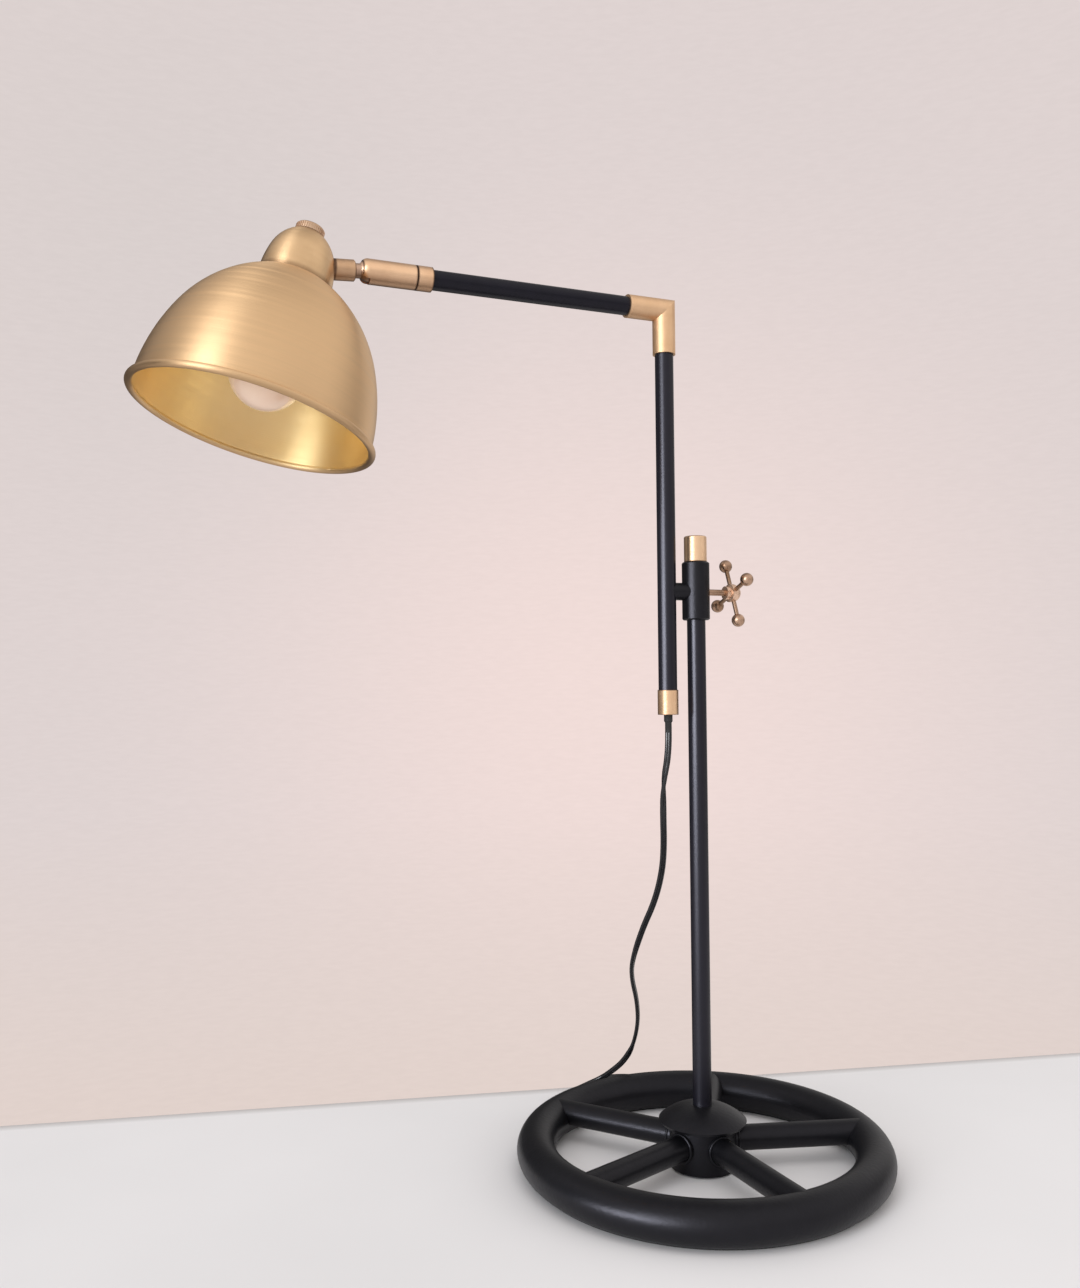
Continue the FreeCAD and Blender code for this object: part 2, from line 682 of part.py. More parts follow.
def bell_outline(base_radius, foot, arc, join, top_radius, top, wall, hole):
    """Outline of a spun bell of even wall with a flat, bored top."""
    turn, join_radius, upper = two_arcs(base_radius, foot, arc, join, top_radius, top)
    centre_radius = "(%s - %s * cos(%s))" % (join_radius, upper, turn)
    centre_height = "(%s - %s * sin(%s))" % (join, upper, turn)
    inner_upper = "(%s - %s)" % (upper, wall)
    inner_top = "(%s + sqrt(%s ^ 2 - (%s - %s - %s) ^ 2))" % (
        centre_radius, inner_upper, top, wall, centre_height)

    def at(height):
        return "%s + %s" % (foot, height)

    return [
        (base_radius, foot),
        (join_radius, at(join), arc, 1),
        (top_radius, at(top), upper, 1),
        (hole, at(top)),
        (hole, at(top) + " - " + wall),
        (inner_top, at(top) + " - " + wall),
        ("%s - %s * cos(%s)" % (join_radius, wall, turn), at("%s - %s * sin(%s)" % (join, wall, turn)),
         inner_upper, -1),
        ("%s - %s" % (base_radius, wall), foot, "%s - %s" % (arc, wall), -1),
    ]


# Shade: spun brass, a two-arc bell with a rolled bead, lacquered bright inside
HOLDER_HOLE = "(holder_radius + holder_gap)"
shade_bell = turned("shade_bell", bell_outline("shade_radius", "0", "shade_arc", "shade_join",
                                               "shade_top_radius", "shade_height", "shade_wall",
                                               HOLDER_HOLE), head_frame, keep=False)
shade_bead = doc.addObject("Part::Torus", "shade_bead")
shade_bead.setExpression("Radius1", bind("shade_radius + bead_out"))
shade_bead.setExpression("Radius2", bind("bead_radius"))
on(shade_bead, head_frame)
fuse("shade", shade_bell, shade_bead)

# Cup: the smaller bell over the lampholder, with a side hole for the shank and a top hole
turn_cup, cup_join_radius, cup_upper = two_arcs("cup_radius", CUP_BOTTOM, "cup_arc", "cup_join",
                                                "cup_top_radius", "cup_height")
cup_shell = turned("cup_shell", bell_outline("cup_radius", CUP_BOTTOM, "cup_arc", "cup_join",
                                             "cup_top_radius", "cup_height", "cup_wall",
                                             "switch_neck_radius + switch_gap"), head_frame, keep=False)
cup_solid = turned("cup_solid", [
    ("0", CUP_BOTTOM),
    ("cup_radius", CUP_BOTTOM),
    (cup_join_radius, CUP_BOTTOM + " + cup_join", "cup_arc", 1),
    ("cup_top_radius", CUP_TOP, cup_upper, 1),
    ("0", CUP_TOP),
], head_frame, keep=False)
shank_hole = rod("shank_hole", "shank_radius", "coupler_reach", coupler_line)
cut("cup", cup_shell, shank_hole)
cut("coupler", coupler_form, cup_solid)
cup_nut_blank = doc.addObject("Part::Prism", "cup_nut_blank")
cup_nut_blank.Polygon = 6
cup_nut_blank.setExpression("Circumradius", bind("cup_nut_flats / 2 / cos(30)"))
cup_nut_blank.setExpression("Height", bind("cup_nut_height"))
NUT_START = SHANK_END + " - cup_nut_height - shank_past_nut"
on(cup_nut_blank, coupler_line + " * " + place(z=NUT_START))
cut("cup_nut", cup_nut_blank, rod("cup_nut_hole", "shank_radius", "cup_nut_height",
                                  coupler_line + " * " + place(z=NUT_START)))

# Lampholder: phenolic body with a flange on the shade's top and a ring nut below it
SHADE_UNDER = "(shade_height - shade_wall)"
SHELL_RADIUS = "(bulb_cap_radius + bulb_cap_gap + thread_shell)"
HOLDER_BOTTOM = "(shade_height - holder_drop)"
CAP_BOTTOM = "(shade_height - holder_drop + bulb_cap_inset)"
HOLDER_FLOOR = "(" + CAP_BOTTOM + " + bulb_cap_length + bulb_tip + contact_height)"
HOLDER_TOP = "(shade_height + holder_top)"
turned("lampholder", [
    (SHELL_RADIUS, HOLDER_BOTTOM + " + holder_mouth"),
    ("holder_mouth_radius", HOLDER_BOTTOM + " + holder_mouth - 1"),
    ("holder_mouth_radius", HOLDER_BOTTOM),
    ("holder_radius", HOLDER_BOTTOM),
    ("holder_radius", "shade_height"),
    ("holder_radius + holder_flange", "shade_height"),
    ("holder_radius + holder_flange", "shade_height + holder_flange_height"),
    ("holder_radius", "shade_height + holder_flange_height"),
    ("holder_radius - 2", HOLDER_TOP),
    ("nipple_radius - nipple_wall", HOLDER_TOP),
    ("nipple_radius - nipple_wall", HOLDER_FLOOR),
    (SHELL_RADIUS, HOLDER_FLOOR),
], head_frame)
turned("shade_ring", ring_outline("holder_radius", "holder_radius + holder_flange",
                                  SHADE_UNDER + " - shade_ring_height", SHADE_UNDER), head_frame)
turned("thread_shell", ring_outline(SHELL_RADIUS + " - thread_shell", SHELL_RADIUS,
                                    HOLDER_BOTTOM + " + holder_mouth", HOLDER_FLOOR), head_frame)
turned("centre_contact", ring_outline("0", "bulb_cap_radius / 2", HOLDER_FLOOR + " - contact_height",
                                      HOLDER_FLOOR), head_frame)

# Bulb: an opal globe on a small screw cap
NECK = "bulb_neck_angle"
BULB_CENTRE = "(" + CAP_BOTTOM + " - bulb_neck_length)"
BULB_INSIDE = "(bulb_radius - bulb_wall)"
NECK_BEND = CAP_BOTTOM + " - bulb_neck_bend"
turned("bulb_globe", [
    ("0", BULB_CENTRE + " - bulb_radius"),
    ("bulb_radius * cos(%s)" % NECK, BULB_CENTRE + " + bulb_radius * sin(%s)" % NECK, "bulb_radius", 1),
    ("bulb_cap_radius + 1", NECK_BEND),
    ("bulb_cap_radius", CAP_BOTTOM),
    ("bulb_cap_radius - bulb_wall", CAP_BOTTOM),
    ("bulb_cap_radius + 1 - bulb_wall", NECK_BEND),
    (BULB_INSIDE + " * cos(%s)" % NECK, BULB_CENTRE + " + " + BULB_INSIDE + " * sin(%s)" % NECK),
    ("0", BULB_CENTRE + " - " + BULB_INSIDE, BULB_INSIDE, -1),
], head_frame)
BULB_CAP_TOP = "(" + CAP_BOTTOM + " + bulb_cap_length)"
turned("bulb_cap", [
    ("0", CAP_BOTTOM),
    ("bulb_cap_radius", CAP_BOTTOM),
    ("bulb_cap_radius", BULB_CAP_TOP + " - bulb_tip"),
    ("bulb_cap_radius / 2", BULB_CAP_TOP),
    ("bulb_cap_radius / 3", BULB_CAP_TOP + " + bulb_tip"),
    ("0", BULB_CAP_TOP + " + bulb_tip"),
], head_frame)

# Switch: a small rotary body on a nipple over the lampholder, nutted through the cup's top
turned("holder_nipple", ring_outline("nipple_radius - nipple_wall", "nipple_radius", HOLDER_TOP,
                                     HOLDER_TOP + " + nipple_length"), head_frame)
SWITCH_BOTTOM = "(" + HOLDER_TOP + " + nipple_length)"
CUP_UNDER = "(" + CUP_TOP + " - cup_wall)"
SHAFT_BORE = "(switch_shaft_radius + running_gap)"
turned("rotary_switch", [
    ("0", SWITCH_BOTTOM),
    ("switch_radius", SWITCH_BOTTOM),
    ("switch_radius", SWITCH_BOTTOM + " + switch_body_height * 0.7"),
    ("switch_shoulder_radius", SWITCH_BOTTOM + " + switch_body_height * 0.7"),
    ("switch_shoulder_radius", CUP_UNDER),
    ("switch_neck_radius", CUP_UNDER),
    ("switch_neck_radius", CUP_TOP + " + switch_neck"),
    (SHAFT_BORE, CUP_TOP + " + switch_neck"),
    (SHAFT_BORE, SWITCH_BOTTOM + " + switch_floor"),
    ("0", SWITCH_BOTTOM + " + switch_floor"),
], head_frame)
turned("switch_nut", ring_outline("switch_neck_radius", "switch_nut_radius", CUP_TOP,
                                  CUP_TOP + " + switch_nut_height"), head_frame)
KNOB_BOTTOM = "(" + CUP_TOP + " + knob_gap)"
KNOB_TOP = "(" + CUP_TOP + " + knob_gap + knob_height)"
KNOB_POCKET = "(" + CUP_TOP + " + switch_neck + knob_gap)"
SHAFT_TOP = "(" + KNOB_TOP + " - 1)"
turned("switch_shaft", ring_outline("0", "switch_shaft_radius",
                                    SWITCH_BOTTOM + " + switch_floor + knob_gap", SHAFT_TOP), head_frame)
turned("switch_knob", [
    ("switch_nut_radius + nut_gap", KNOB_BOTTOM),
    ("knob_radius", KNOB_BOTTOM),
    ("knob_radius", KNOB_TOP + " - knob_round"),
    ("knob_radius - knob_round", KNOB_TOP, "knob_round", 1),
    ("0", KNOB_TOP),
    ("0", SHAFT_TOP),
    ("switch_shaft_radius", SHAFT_TOP),
    ("switch_shaft_radius", KNOB_POCKET),
    ("switch_nut_radius + nut_gap", KNOB_POCKET),
], head_frame)


# Flex: pieces that follow a path of straight runs and tangent arcs
def made(name, shape, placement=None):
    feature = doc.addObject("Part::Feature", name)
    feature.Shape = shape
    if placement:
        feature.Placement = placement
    nodes[name] = feature
    return feature


def tube_along(edges, radius):
    """A round solid along tangent edges."""
    wire = Part.Wire(edges)
    first = edges[0]
    start = first.valueAt(first.FirstParameter)
    circle = Part.Wire([Part.makeCircle(radius, start, first.tangentAt(first.FirstParameter))])
    return wire.makePipeShell([circle], True, False)


def rounded_path(points, label):
    """Straight runs joined by arcs as large as the runs allow, with their radii printed."""
    edges = []
    radii = []
    at = points[0]
    for before, corner, after in zip(points, points[1:], points[2:]):
        back = before - corner
        on_ward = after - corner
        run = min(back.Length, on_ward.Length)
        half_turn = (math.pi - back.getAngle(on_ward)) / 2
        reach = 0.45 * run
        radii.append(reach / math.tan(half_turn))
        into = corner + back.normalize() * reach
        out = corner + on_ward.normalize() * reach
        middle = (into + out) / 2
        sagitta = radii[-1] * (1 - math.cos(half_turn))
        bulge = (corner - middle).normalize() * sagitta
        edges.append(Part.LineSegment(at, into).toShape())
        edges.append(Part.Arc(into, middle + bulge, out).toShape())
        at = out
    edges.append(Part.LineSegment(at, points[-1]).toShape())
    print(label, "bend radii", [round(radius, 1) for radius in radii])
    return edges


def report_tube(label, solid, edges, radius):
    length = sum(edge.Length for edge in edges)
    expected = length * math.pi * radius * radius
    print(label, "length %.1f volume %.1f expected %.1f" % (length, solid.Volume, expected))


cord_radius = size("cord_thick") / 2
riser_x = -size("riser_offset")
arm_z = size("arm_height")

# Flex inside the tubes, from the grip to the swivel's spindle
flex_start = FreeCAD.Vector(riser_x, 0, value(FERRULE_INSIDE + " + grip_flange_height"))
bend = size("flex_bend")
flex_low = FreeCAD.Vector(riser_x, 0, arm_z - bend)
flex_far = FreeCAD.Vector(riser_x - bend, 0, arm_z)
flex_middle = FreeCAD.Vector(riser_x - bend * (1 - math.cos(math.pi / 4)), 0,
                             arm_z - bend * (1 - math.sin(math.pi / 4)))
flex_end = FreeCAD.Vector(riser_x - value(TUBE_END), 0, arm_z)
flex_edges = [
    Part.LineSegment(flex_start, flex_low).toShape(),
    Part.Arc(flex_low, flex_middle, flex_far).toShape(),
    Part.LineSegment(flex_far, flex_end).toShape(),
]
made("inner_flex", tube_along(flex_edges, size("flex_radius")))

# Hank: the put-away length, wound in and out again in two layers and drawn in at the tie
hank_turn = math.radians(size("hank_angle"))
hank_place = FreeCAD.Placement(
    FreeCAD.Vector(math.cos(hank_turn), math.sin(hank_turn), 0) * size("hank_out"),
    FreeCAD.Rotation(FreeCAD.Vector(0, 0, 1), size("hank_angle") - 90))
run_half = size("hank_run")
waist = size("hank_waist")
pitch = size("hank_pitch")
half_runs = 4 * HANK_TURNS - 1


def s_curve(start, end):
    """Two equal arcs between points whose tangents both lie along X."""
    step = end - start
    side = FreeCAD.Vector(0, step.y, step.z)
    along = FreeCAD.Vector(step.x, 0, 0)
    reach = along.Length
    shift = side.Length
    radius = (reach * reach + shift * shift) / (4 * shift)
    half_turn = math.asin(reach / 2 / radius) / 2
    along.normalize()
    side.normalize()
    centre = start + side * radius
    first_mid = centre + along * (radius * math.sin(half_turn)) - side * (radius * math.cos(half_turn))
    second_centre = end - side * radius
    second_mid = (second_centre - along * (radius * math.sin(half_turn))
                  + side * (radius * math.cos(half_turn)))
    middle = (start + end) / 2
    return [Part.Arc(start, first_mid, middle).toShape(), Part.Arc(middle, second_mid, end).toShape()]


def run_offset(index):
    """Distance of a run from the hank's middle line: in to the innermost run, then out again."""
    steps = abs(index - half_runs // 2)
    return size("hank_inner") + pitch / 2 * steps


low = cord_radius
high = cord_radius + size("hank_layer")
hank_edges = []
run_ends = []
for index in range(half_runs):
    heading = 1 if index % 2 == 0 else -1
    offset = -heading * run_offset(index)
    climbing = index == half_runs // 2
    start_z = low if index <= half_runs // 2 else high
    end_z = high if index >= half_runs // 2 else low
    drawn = offset + heading * waist
    start = FreeCAD.Vector(-heading * run_half, offset, start_z)
    middle = FreeCAD.Vector(0, drawn, (start_z + end_z) / 2)
    end = FreeCAD.Vector(heading * run_half, offset, end_z)
    if run_ends:
        last = run_ends[-1]
        arc_middle = FreeCAD.Vector(last.x - heading * abs(start.y - last.y) / 2,
                                    (start.y + last.y) / 2, start_z)
        hank_edges.append(Part.Arc(last, arc_middle, start).toShape())
    hank_edges += s_curve(start, middle)
    hank_edges += s_curve(middle, end)
    run_ends.append(end)
tail_start = run_ends[-1]
tail_end = tail_start + FreeCAD.Vector(size("hank_tail"), 0, 0)
hank_edges.append(Part.LineSegment(tail_start, tail_end).toShape())
lead_in = FreeCAD.Vector(-run_half, -run_offset(0), low)
lead_start = lead_in - FreeCAD.Vector(size("cord_thick"), 0, 0)
hank_edges.insert(0, Part.LineSegment(lead_start, lead_in).toShape())
hank = tube_along(hank_edges, cord_radius)
report_tube("cord_hank", hank, hank_edges, cord_radius)


def least_gap(edges, radius):
    """Smallest clear distance between stretches of the tube that are not neighbours along it."""
    spacing = radius
    stations = []
    travelled = 0.0
    for edge in edges:
        count = max(2, int(edge.Length / spacing))
        for step in range(count):
            parameter = edge.FirstParameter + (edge.LastParameter - edge.FirstParameter) * step / count
            stations.append((travelled + edge.Length * step / count, edge.valueAt(parameter)))
        travelled += edge.Length
    smallest = 1e9
    for first, (near, point) in enumerate(stations):
        for far, other in stations[first + 1:]:
            if far - near < 12 * radius:
                continue
            smallest = min(smallest, (point - other).Length)
    return smallest - 2 * radius


print("cord_hank least gap to itself %.2f" % least_gap(hank_edges, cord_radius))
made("cord_hank", hank, hank_place)

# Tie: a flat band round the drawn-in middle of the hank
tie_low = -(run_offset(0) - waist) - cord_radius - size("running_gap")
tie_high = run_offset(1) - waist + cord_radius + size("running_gap")
tie_inner = Part.makeBox(size("tie_width"), tie_high - tie_low, high + cord_radius,
                         FreeCAD.Vector(-size("tie_width") / 2, tie_low, 0))
wall = size("tie_wall")
tie_outer = Part.makeBox(size("tie_width"), tie_high - tie_low + 2 * wall, high + cord_radius + wall,
                         FreeCAD.Vector(-size("tie_width") / 2, tie_low - wall, 0))
made("hank_tie", tie_outer.cut(tie_inner), hank_place)

# Plug: a flat moulded body at the tail's end with two blades
plug_height = 2 * high
plug_y = -run_offset(0)
plug_box = Part.makeBox(size("plug_length"), size("plug_width"), plug_height,
                        FreeCAD.Vector(tail_end.x, plug_y - size("plug_width") / 2, 0))
upright_edges = [edge for edge in plug_box.Edges
                 if abs(edge.Vertexes[0].X - edge.Vertexes[1].X) < 1e-6
                 and abs(edge.Vertexes[0].Y - edge.Vertexes[1].Y) < 1e-6
                 and abs(edge.Vertexes[0].X - tail_end.x) < 1e-6]
plug_body = plug_box.makeFillet(size("plug_round"), upright_edges)
pins = []
for side in (-1, 1):
    pin_y = plug_y + side * size("pin_spacing") / 2 - size("pin_thick") / 2
    corner = FreeCAD.Vector(tail_end.x + size("plug_length") - size("pin_seat"), pin_y,
                            high - size("pin_width") / 2)
    pins.append(Part.makeBox(size("pin_seat") + size("pin_length"), size("pin_thick"),
                             size("pin_width"), corner))
for pin in pins:
    plug_body = plug_body.cut(pin)
made("plug_body", plug_body, hank_place)
made("plug_pins", Part.makeCompound(pins), hank_place)

# Free stretch: down from the grip, back over the ring and round to the hank behind it
entry = FreeCAD.Vector(lead_start)
cord_route = [
    FreeCAD.Vector(riser_x, 0, value(GRIP_BOTTOM)),
    FreeCAD.Vector(riser_x, 0, value(GRIP_BOTTOM) - size("cord_exit_run")),
    FreeCAD.Vector(-23.7, 6, 257),
    FreeCAD.Vector(-19.7, 14, 234),
    FreeCAD.Vector(-14.0, 24, 212),
    FreeCAD.Vector(-9.7, 35, 192),
    FreeCAD.Vector(-9.0, 48, 169),
    FreeCAD.Vector(-12.1, 62, 147),
    FreeCAD.Vector(-12.6, 78, 121),
    FreeCAD.Vector(-8.2, 88, 106),
    FreeCAD.Vector(2.3, 100, 85),
    FreeCAD.Vector(8.6, 111, 64),
    FreeCAD.Vector(9.0, 122, 43),
    FreeCAD.Vector(6.0, 133, 29),
    FreeCAD.Vector(1.0, 144, 19),
]
# the last bend lies flat to the left of the hank, in the hank's own axes
for point in [
    (-40.0, 2.0, 10.2),
    (-53.0, 3.0, 5.2),
    (-65.5, -1.5, 2.0),
    (-68.0, -14.5, cord_radius),
    (-57.5, -23.0, cord_radius),
    (entry.x - size("cord_entry_run"), entry.y, cord_radius),
    (entry.x, entry.y, cord_radius),
]:
    cord_route.append(hank_place.multVec(FreeCAD.Vector(*point)))
drop_edges = rounded_path(cord_route, "cord_drop")
drop = tube_along(drop_edges, cord_radius)
report_tube("cord_drop", drop, drop_edges, cord_radius)
made("cord_drop", drop)

# Check every piece, then write each one under its own name
doc.recompute()
problems = [obj.Name for obj in doc.Objects if "Invalid" in obj.State or "Error" in obj.State]
for name, obj in nodes.items():
    obj.Label = name
    if obj.Shape.isNull() or not obj.Shape.isValid() or not obj.Shape.Solids:
        problems.append(name)
if problems:
    raise RuntimeError("failed: " + ", ".join(problems))
os.makedirs("parts", exist_ok=True)
for name, obj in nodes.items():
    obj.Shape.exportStep("parts/%s.step" % name)
print(len(nodes), "nodes written")
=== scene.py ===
import bpy
import math
from mathutils import Matrix, Vector


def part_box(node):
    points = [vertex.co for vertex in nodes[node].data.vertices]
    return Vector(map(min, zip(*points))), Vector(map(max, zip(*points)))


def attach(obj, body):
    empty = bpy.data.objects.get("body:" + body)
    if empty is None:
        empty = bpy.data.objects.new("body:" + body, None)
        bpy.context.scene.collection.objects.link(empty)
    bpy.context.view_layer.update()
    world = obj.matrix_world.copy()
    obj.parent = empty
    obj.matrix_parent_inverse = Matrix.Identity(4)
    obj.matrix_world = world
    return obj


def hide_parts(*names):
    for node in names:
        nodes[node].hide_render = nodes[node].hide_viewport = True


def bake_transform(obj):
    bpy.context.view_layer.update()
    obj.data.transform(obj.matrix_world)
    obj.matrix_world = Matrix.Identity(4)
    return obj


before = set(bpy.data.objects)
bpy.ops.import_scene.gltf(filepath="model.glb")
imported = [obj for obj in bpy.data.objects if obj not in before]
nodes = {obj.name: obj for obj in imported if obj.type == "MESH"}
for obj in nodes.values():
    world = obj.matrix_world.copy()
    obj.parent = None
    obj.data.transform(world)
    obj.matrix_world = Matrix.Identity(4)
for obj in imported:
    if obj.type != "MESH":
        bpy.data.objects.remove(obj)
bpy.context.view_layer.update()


# Camera: stands a little above the table, in front and to the left of the lamp, and looks
# slightly up across it. Its lens and place come from the outlines of the ring, tubes and shade.
camera_yaw = 0.3866
camera_pitch = 0.0402
camera_roll = -0.0073
forward = Vector((math.sin(camera_yaw) * math.cos(camera_pitch),
                  math.cos(camera_yaw) * math.cos(camera_pitch), math.sin(camera_pitch)))
level = Vector((math.cos(camera_yaw), -math.sin(camera_yaw), 0))
above = level.cross(forward)
to_right = level * math.cos(camera_roll) + above * math.sin(camera_roll)
to_top = above * math.cos(camera_roll) - level * math.sin(camera_roll)
camera_data = bpy.data.cameras.new("camera")
camera_data.sensor_width = 36
camera_data.lens = 32.03
camera_data.clip_start = 0.01
camera_data.clip_end = 50
camera_place = Vector((-0.39455, -0.68525, 0.32017))
camera = bpy.data.objects.new("camera", camera_data)
bpy.context.scene.collection.objects.link(camera)
camera.matrix_world = Matrix((
    (to_right.x, to_top.x, -forward.x, camera_place.x),
    (to_right.y, to_top.y, -forward.y, camera_place.y),
    (to_right.z, to_top.z, -forward.z, camera_place.z),
    (0, 0, 0, 1)))
bpy.context.scene.camera = camera


# Flex: flat twin cable in black, two round cores side by side with a groove between them.
# It hangs from the grip, falls back over the ring and is put away in a tied hank behind it.
hang_points = [
    (-0.0225, 0.0000, 0.2910), (-0.0225, 0.0000, 0.2770), (-0.0237, 0.0060, 0.2570),
    (-0.0197, 0.0140, 0.2340), (-0.01685, 0.0190, 0.2230),
]
fall_points = [
    (-0.01685, 0.0190, 0.2230), (-0.0140, 0.0240, 0.2120), (-0.0097, 0.0350, 0.1920),
    (-0.0090, 0.0480, 0.1690), (-0.0121, 0.0620, 0.1470), (-0.0126, 0.0780, 0.1210),
    (-0.0082, 0.0880, 0.1060), (0.0023, 0.1000, 0.0850), (0.0086, 0.1110, 0.0640),
    (0.0090, 0.1220, 0.0430), (0.0060, 0.1330, 0.0290), (0.0010, 0.1440, 0.0190),
]
hank_middle = Matrix.Translation((0.035442, 0.142148, 0)) @ Matrix.Rotation(math.radians(-14), 4, "Z")
floor_layer = 0.0023
top_layer = 0.0069


def hank_point(along, across, height):
    return tuple(hank_middle @ Vector((along, across, height)))


# the last bend before the hank lies flat to its left
for along, across, height in [
    (-0.0400, 0.0020, 0.0115), (-0.0530, 0.0030, 0.0062), (-0.0655, -0.0015, 0.0030),
    (-0.0680, -0.0145, floor_layer), (-0.0575, -0.0230, floor_layer), (-0.0430, -0.0184, floor_layer),
]:
    fall_points.append(hank_point(along, across, height))

# eleven runs, in to the middle one and out again, each drawn in at its waist
last_run = 10
middle_run = 5
run_half = 0.025
inner_reach = 0.00875
run_pitch = 0.00385
waist_half = 0.006
waist_draw = 0.0055
half_bend = math.radians(22.5)
for run in range(last_run + 1):
    heading = 1 if run % 2 == 0 else -1
    reach = inner_reach + run_pitch / 2 * abs(run - middle_run)
    side = -heading * reach
    waist = side + heading * waist_draw
    start_height = floor_layer if run <= middle_run else top_layer
    rise = top_layer - floor_layer if run == middle_run else 0
    fold = reach * math.tan(half_bend)
    fall_points += [
        hank_point(-heading * (run_half - fold), side, start_height),
        hank_point(-heading * waist_half, waist, start_height + rise / 3),
        hank_point(heading * waist_half, waist, start_height + rise * 2 / 3),
        hank_point(heading * (run_half - fold), side, start_height + rise),
    ]
    if run == last_run:
        break
    next_side = heading * (inner_reach + run_pitch / 2 * abs(run + 1 - middle_run))
    fold_radius = abs(next_side - side) / 2
    for degrees in (-67.5, -22.5, 22.5, 67.5):
        turn = math.radians(degrees)
        around = fold_radius / math.cos(half_bend)
        fall_points.append(hank_point(
            heading * (run_half + around * math.cos(turn)),
            (side + next_side) / 2 + heading * around * math.sin(turn),
            start_height + rise))
fall_points.append(hank_point(0.0462, -0.018375, 0.0061))


def smooth_line(name, points):
    """The route's own spline, read back as points."""
    curve = bpy.data.curves.new(name, "CURVE")
    curve.dimensions = "3D"
    curve.resolution_u = 10
    spline = curve.splines.new("NURBS")
    spline.points.add(len(points) - 1)
    for place, point in zip(spline.points, points):
        place.co = (*point, 1)
    spline.order_u = 3
    spline.use_endpoint_u = True
    line = bpy.data.objects.new(name, curve)
    bpy.context.scene.collection.objects.link(line)
    bpy.context.view_layer.update()
    mesh = bpy.data.meshes.new_from_object(line)
    found = [vertex.co.copy() for vertex in mesh.vertices]
    bpy.data.objects.remove(line)
    return found


def ramp(value, first, last):
    """Nought before first and one past last, rising smoothly between them."""
    share = min(max((value - first) / (last - first), 0), 1)
    return share * share * (3 - 2 * share)


def twist(height):
    """How far the flex has turned about itself: edge on above the ring, and half round below the grip."""
    edge_on = ramp(height, 0.034, 0.048) - ramp(height, 0.105, 0.150)
    return math.radians(80 * edge_on + 180 * ramp(height, 0.232, 0.276))


def twin_flex(name, line, side):
    """A flat twin cable along a line; side is the way its width points at the start."""
    core_out = 0.0008
    core_radius = 0.00145
    steps = 8
    outline = []
    for centre, first, last in ((core_out, -125, 125), (-core_out, 55, 305)):
        for step in range(steps + 1):
            turn = math.radians(first + (last - first) * step / steps)
            outline.append((centre + core_radius * math.cos(turn), core_radius * math.sin(turn)))
    points = []
    faces = []
    for number, here in enumerate(line):
        ahead = line[min(number + 1, len(line) - 1)]
        behind = line[max(number - 1, 0)]
        along = (ahead - behind).normalized()
        side = (side - along * side.dot(along)).normalized()
        turned = Matrix.Rotation(twist(here.z), 3, along) @ side
        flat = along.cross(turned)
        for wide, thick in outline:
            points.append(here + turned * wide + flat * thick)
    count = len(outline)
    for ring in range(len(line) - 1):
        for corner in range(count):
            following = (corner + 1) % count
            faces.append((ring * count + corner, ring * count + following,
                          (ring + 1) * count + following, (ring + 1) * count + corner))
    faces.append(tuple(range(count - 1, -1, -1)))
    faces.append(tuple(range((len(line) - 1) * count, len(line) * count)))
    mesh = bpy.data.meshes.new(name)
    mesh.from_pydata(points, [], faces)
    mesh.update()
    piece = bpy.data.objects.new(name, mesh)
    bpy.context.scene.collection.objects.link(piece)
    bpy.ops.object.select_all(action="DESELECT")
    piece.select_set(True)
    bpy.context.view_layer.objects.active = piece
    bpy.ops.object.shade_smooth_by_angle(angle=math.radians(50))
    return piece, side


hang_line = smooth_line("hang_line", hang_points)
fall_line = smooth_line("fall_line", fall_points)
fall_back = list(reversed(fall_line))
flex_fall, join_side = twin_flex("flex_fall", fall_back, Vector((0, 0, 1)))
hang_back = list(reversed(hang_line))
flex_hang, _ = twin_flex("flex_hang", hang_back, join_side)


def run_length(line):
    return sum((b - a).length for a, b in zip(line, line[1:]))


print("flex lengths", round(run_length(hang_line), 4), round(run_length(fall_line), 4))


def finish(name):
    """A new material with its node tree and its Principled shader."""
    material = bpy.data.materials.new(name)
    material.use_nodes = True
    return material, material.node_tree, material.node_tree.nodes["Principled BSDF"]


def wear(node_name, material):
    """Gives a carried-over piece its finish."""
    piece = nodes[node_name]
    piece.data.materials.clear()
    piece.data.materials.append(material)


def new_group(name, inputs, outputs):
    """A shader node group with named sockets, with its input and output nodes."""
    group = bpy.data.node_groups.new(name, "ShaderNodeTree")
    for title, kind, setting in inputs:
        socket = group.interface.new_socket(title, in_out="INPUT", socket_type=kind)
        if setting is not None:
            socket.default_value = setting
    for title, kind in outputs:
        group.interface.new_socket(title, in_out="OUTPUT", socket_type=kind)
    return group, group.nodes.new("NodeGroupInput"), group.nodes.new("NodeGroupOutput")


def spread(tree, value, low, high, first=0.3, last=0.7):
    """A number that goes from low to high as the value goes from first to last."""
    node = tree.nodes.new("ShaderNodeMapRange")
    node.inputs["From Min"].default_value = first
    node.inputs["From Max"].default_value = last
    node.inputs["To Min"].default_value = low
    node.inputs["To Max"].default_value = high
    tree.links.new(value, node.inputs["Value"])
    return node.outputs["Result"]


def uneven(tree, source, scale, detail, low, high):
    """Noise at a scale, as a number between low and high."""
    noise = tree.nodes.new("ShaderNodeTexNoise")
    noise.inputs["Scale"].default_value = scale
    noise.inputs["Detail"].default_value = detail
    tree.links.new(source, noise.inputs["Vector"])
    return spread(tree, noise.outputs["Fac"], low, high)


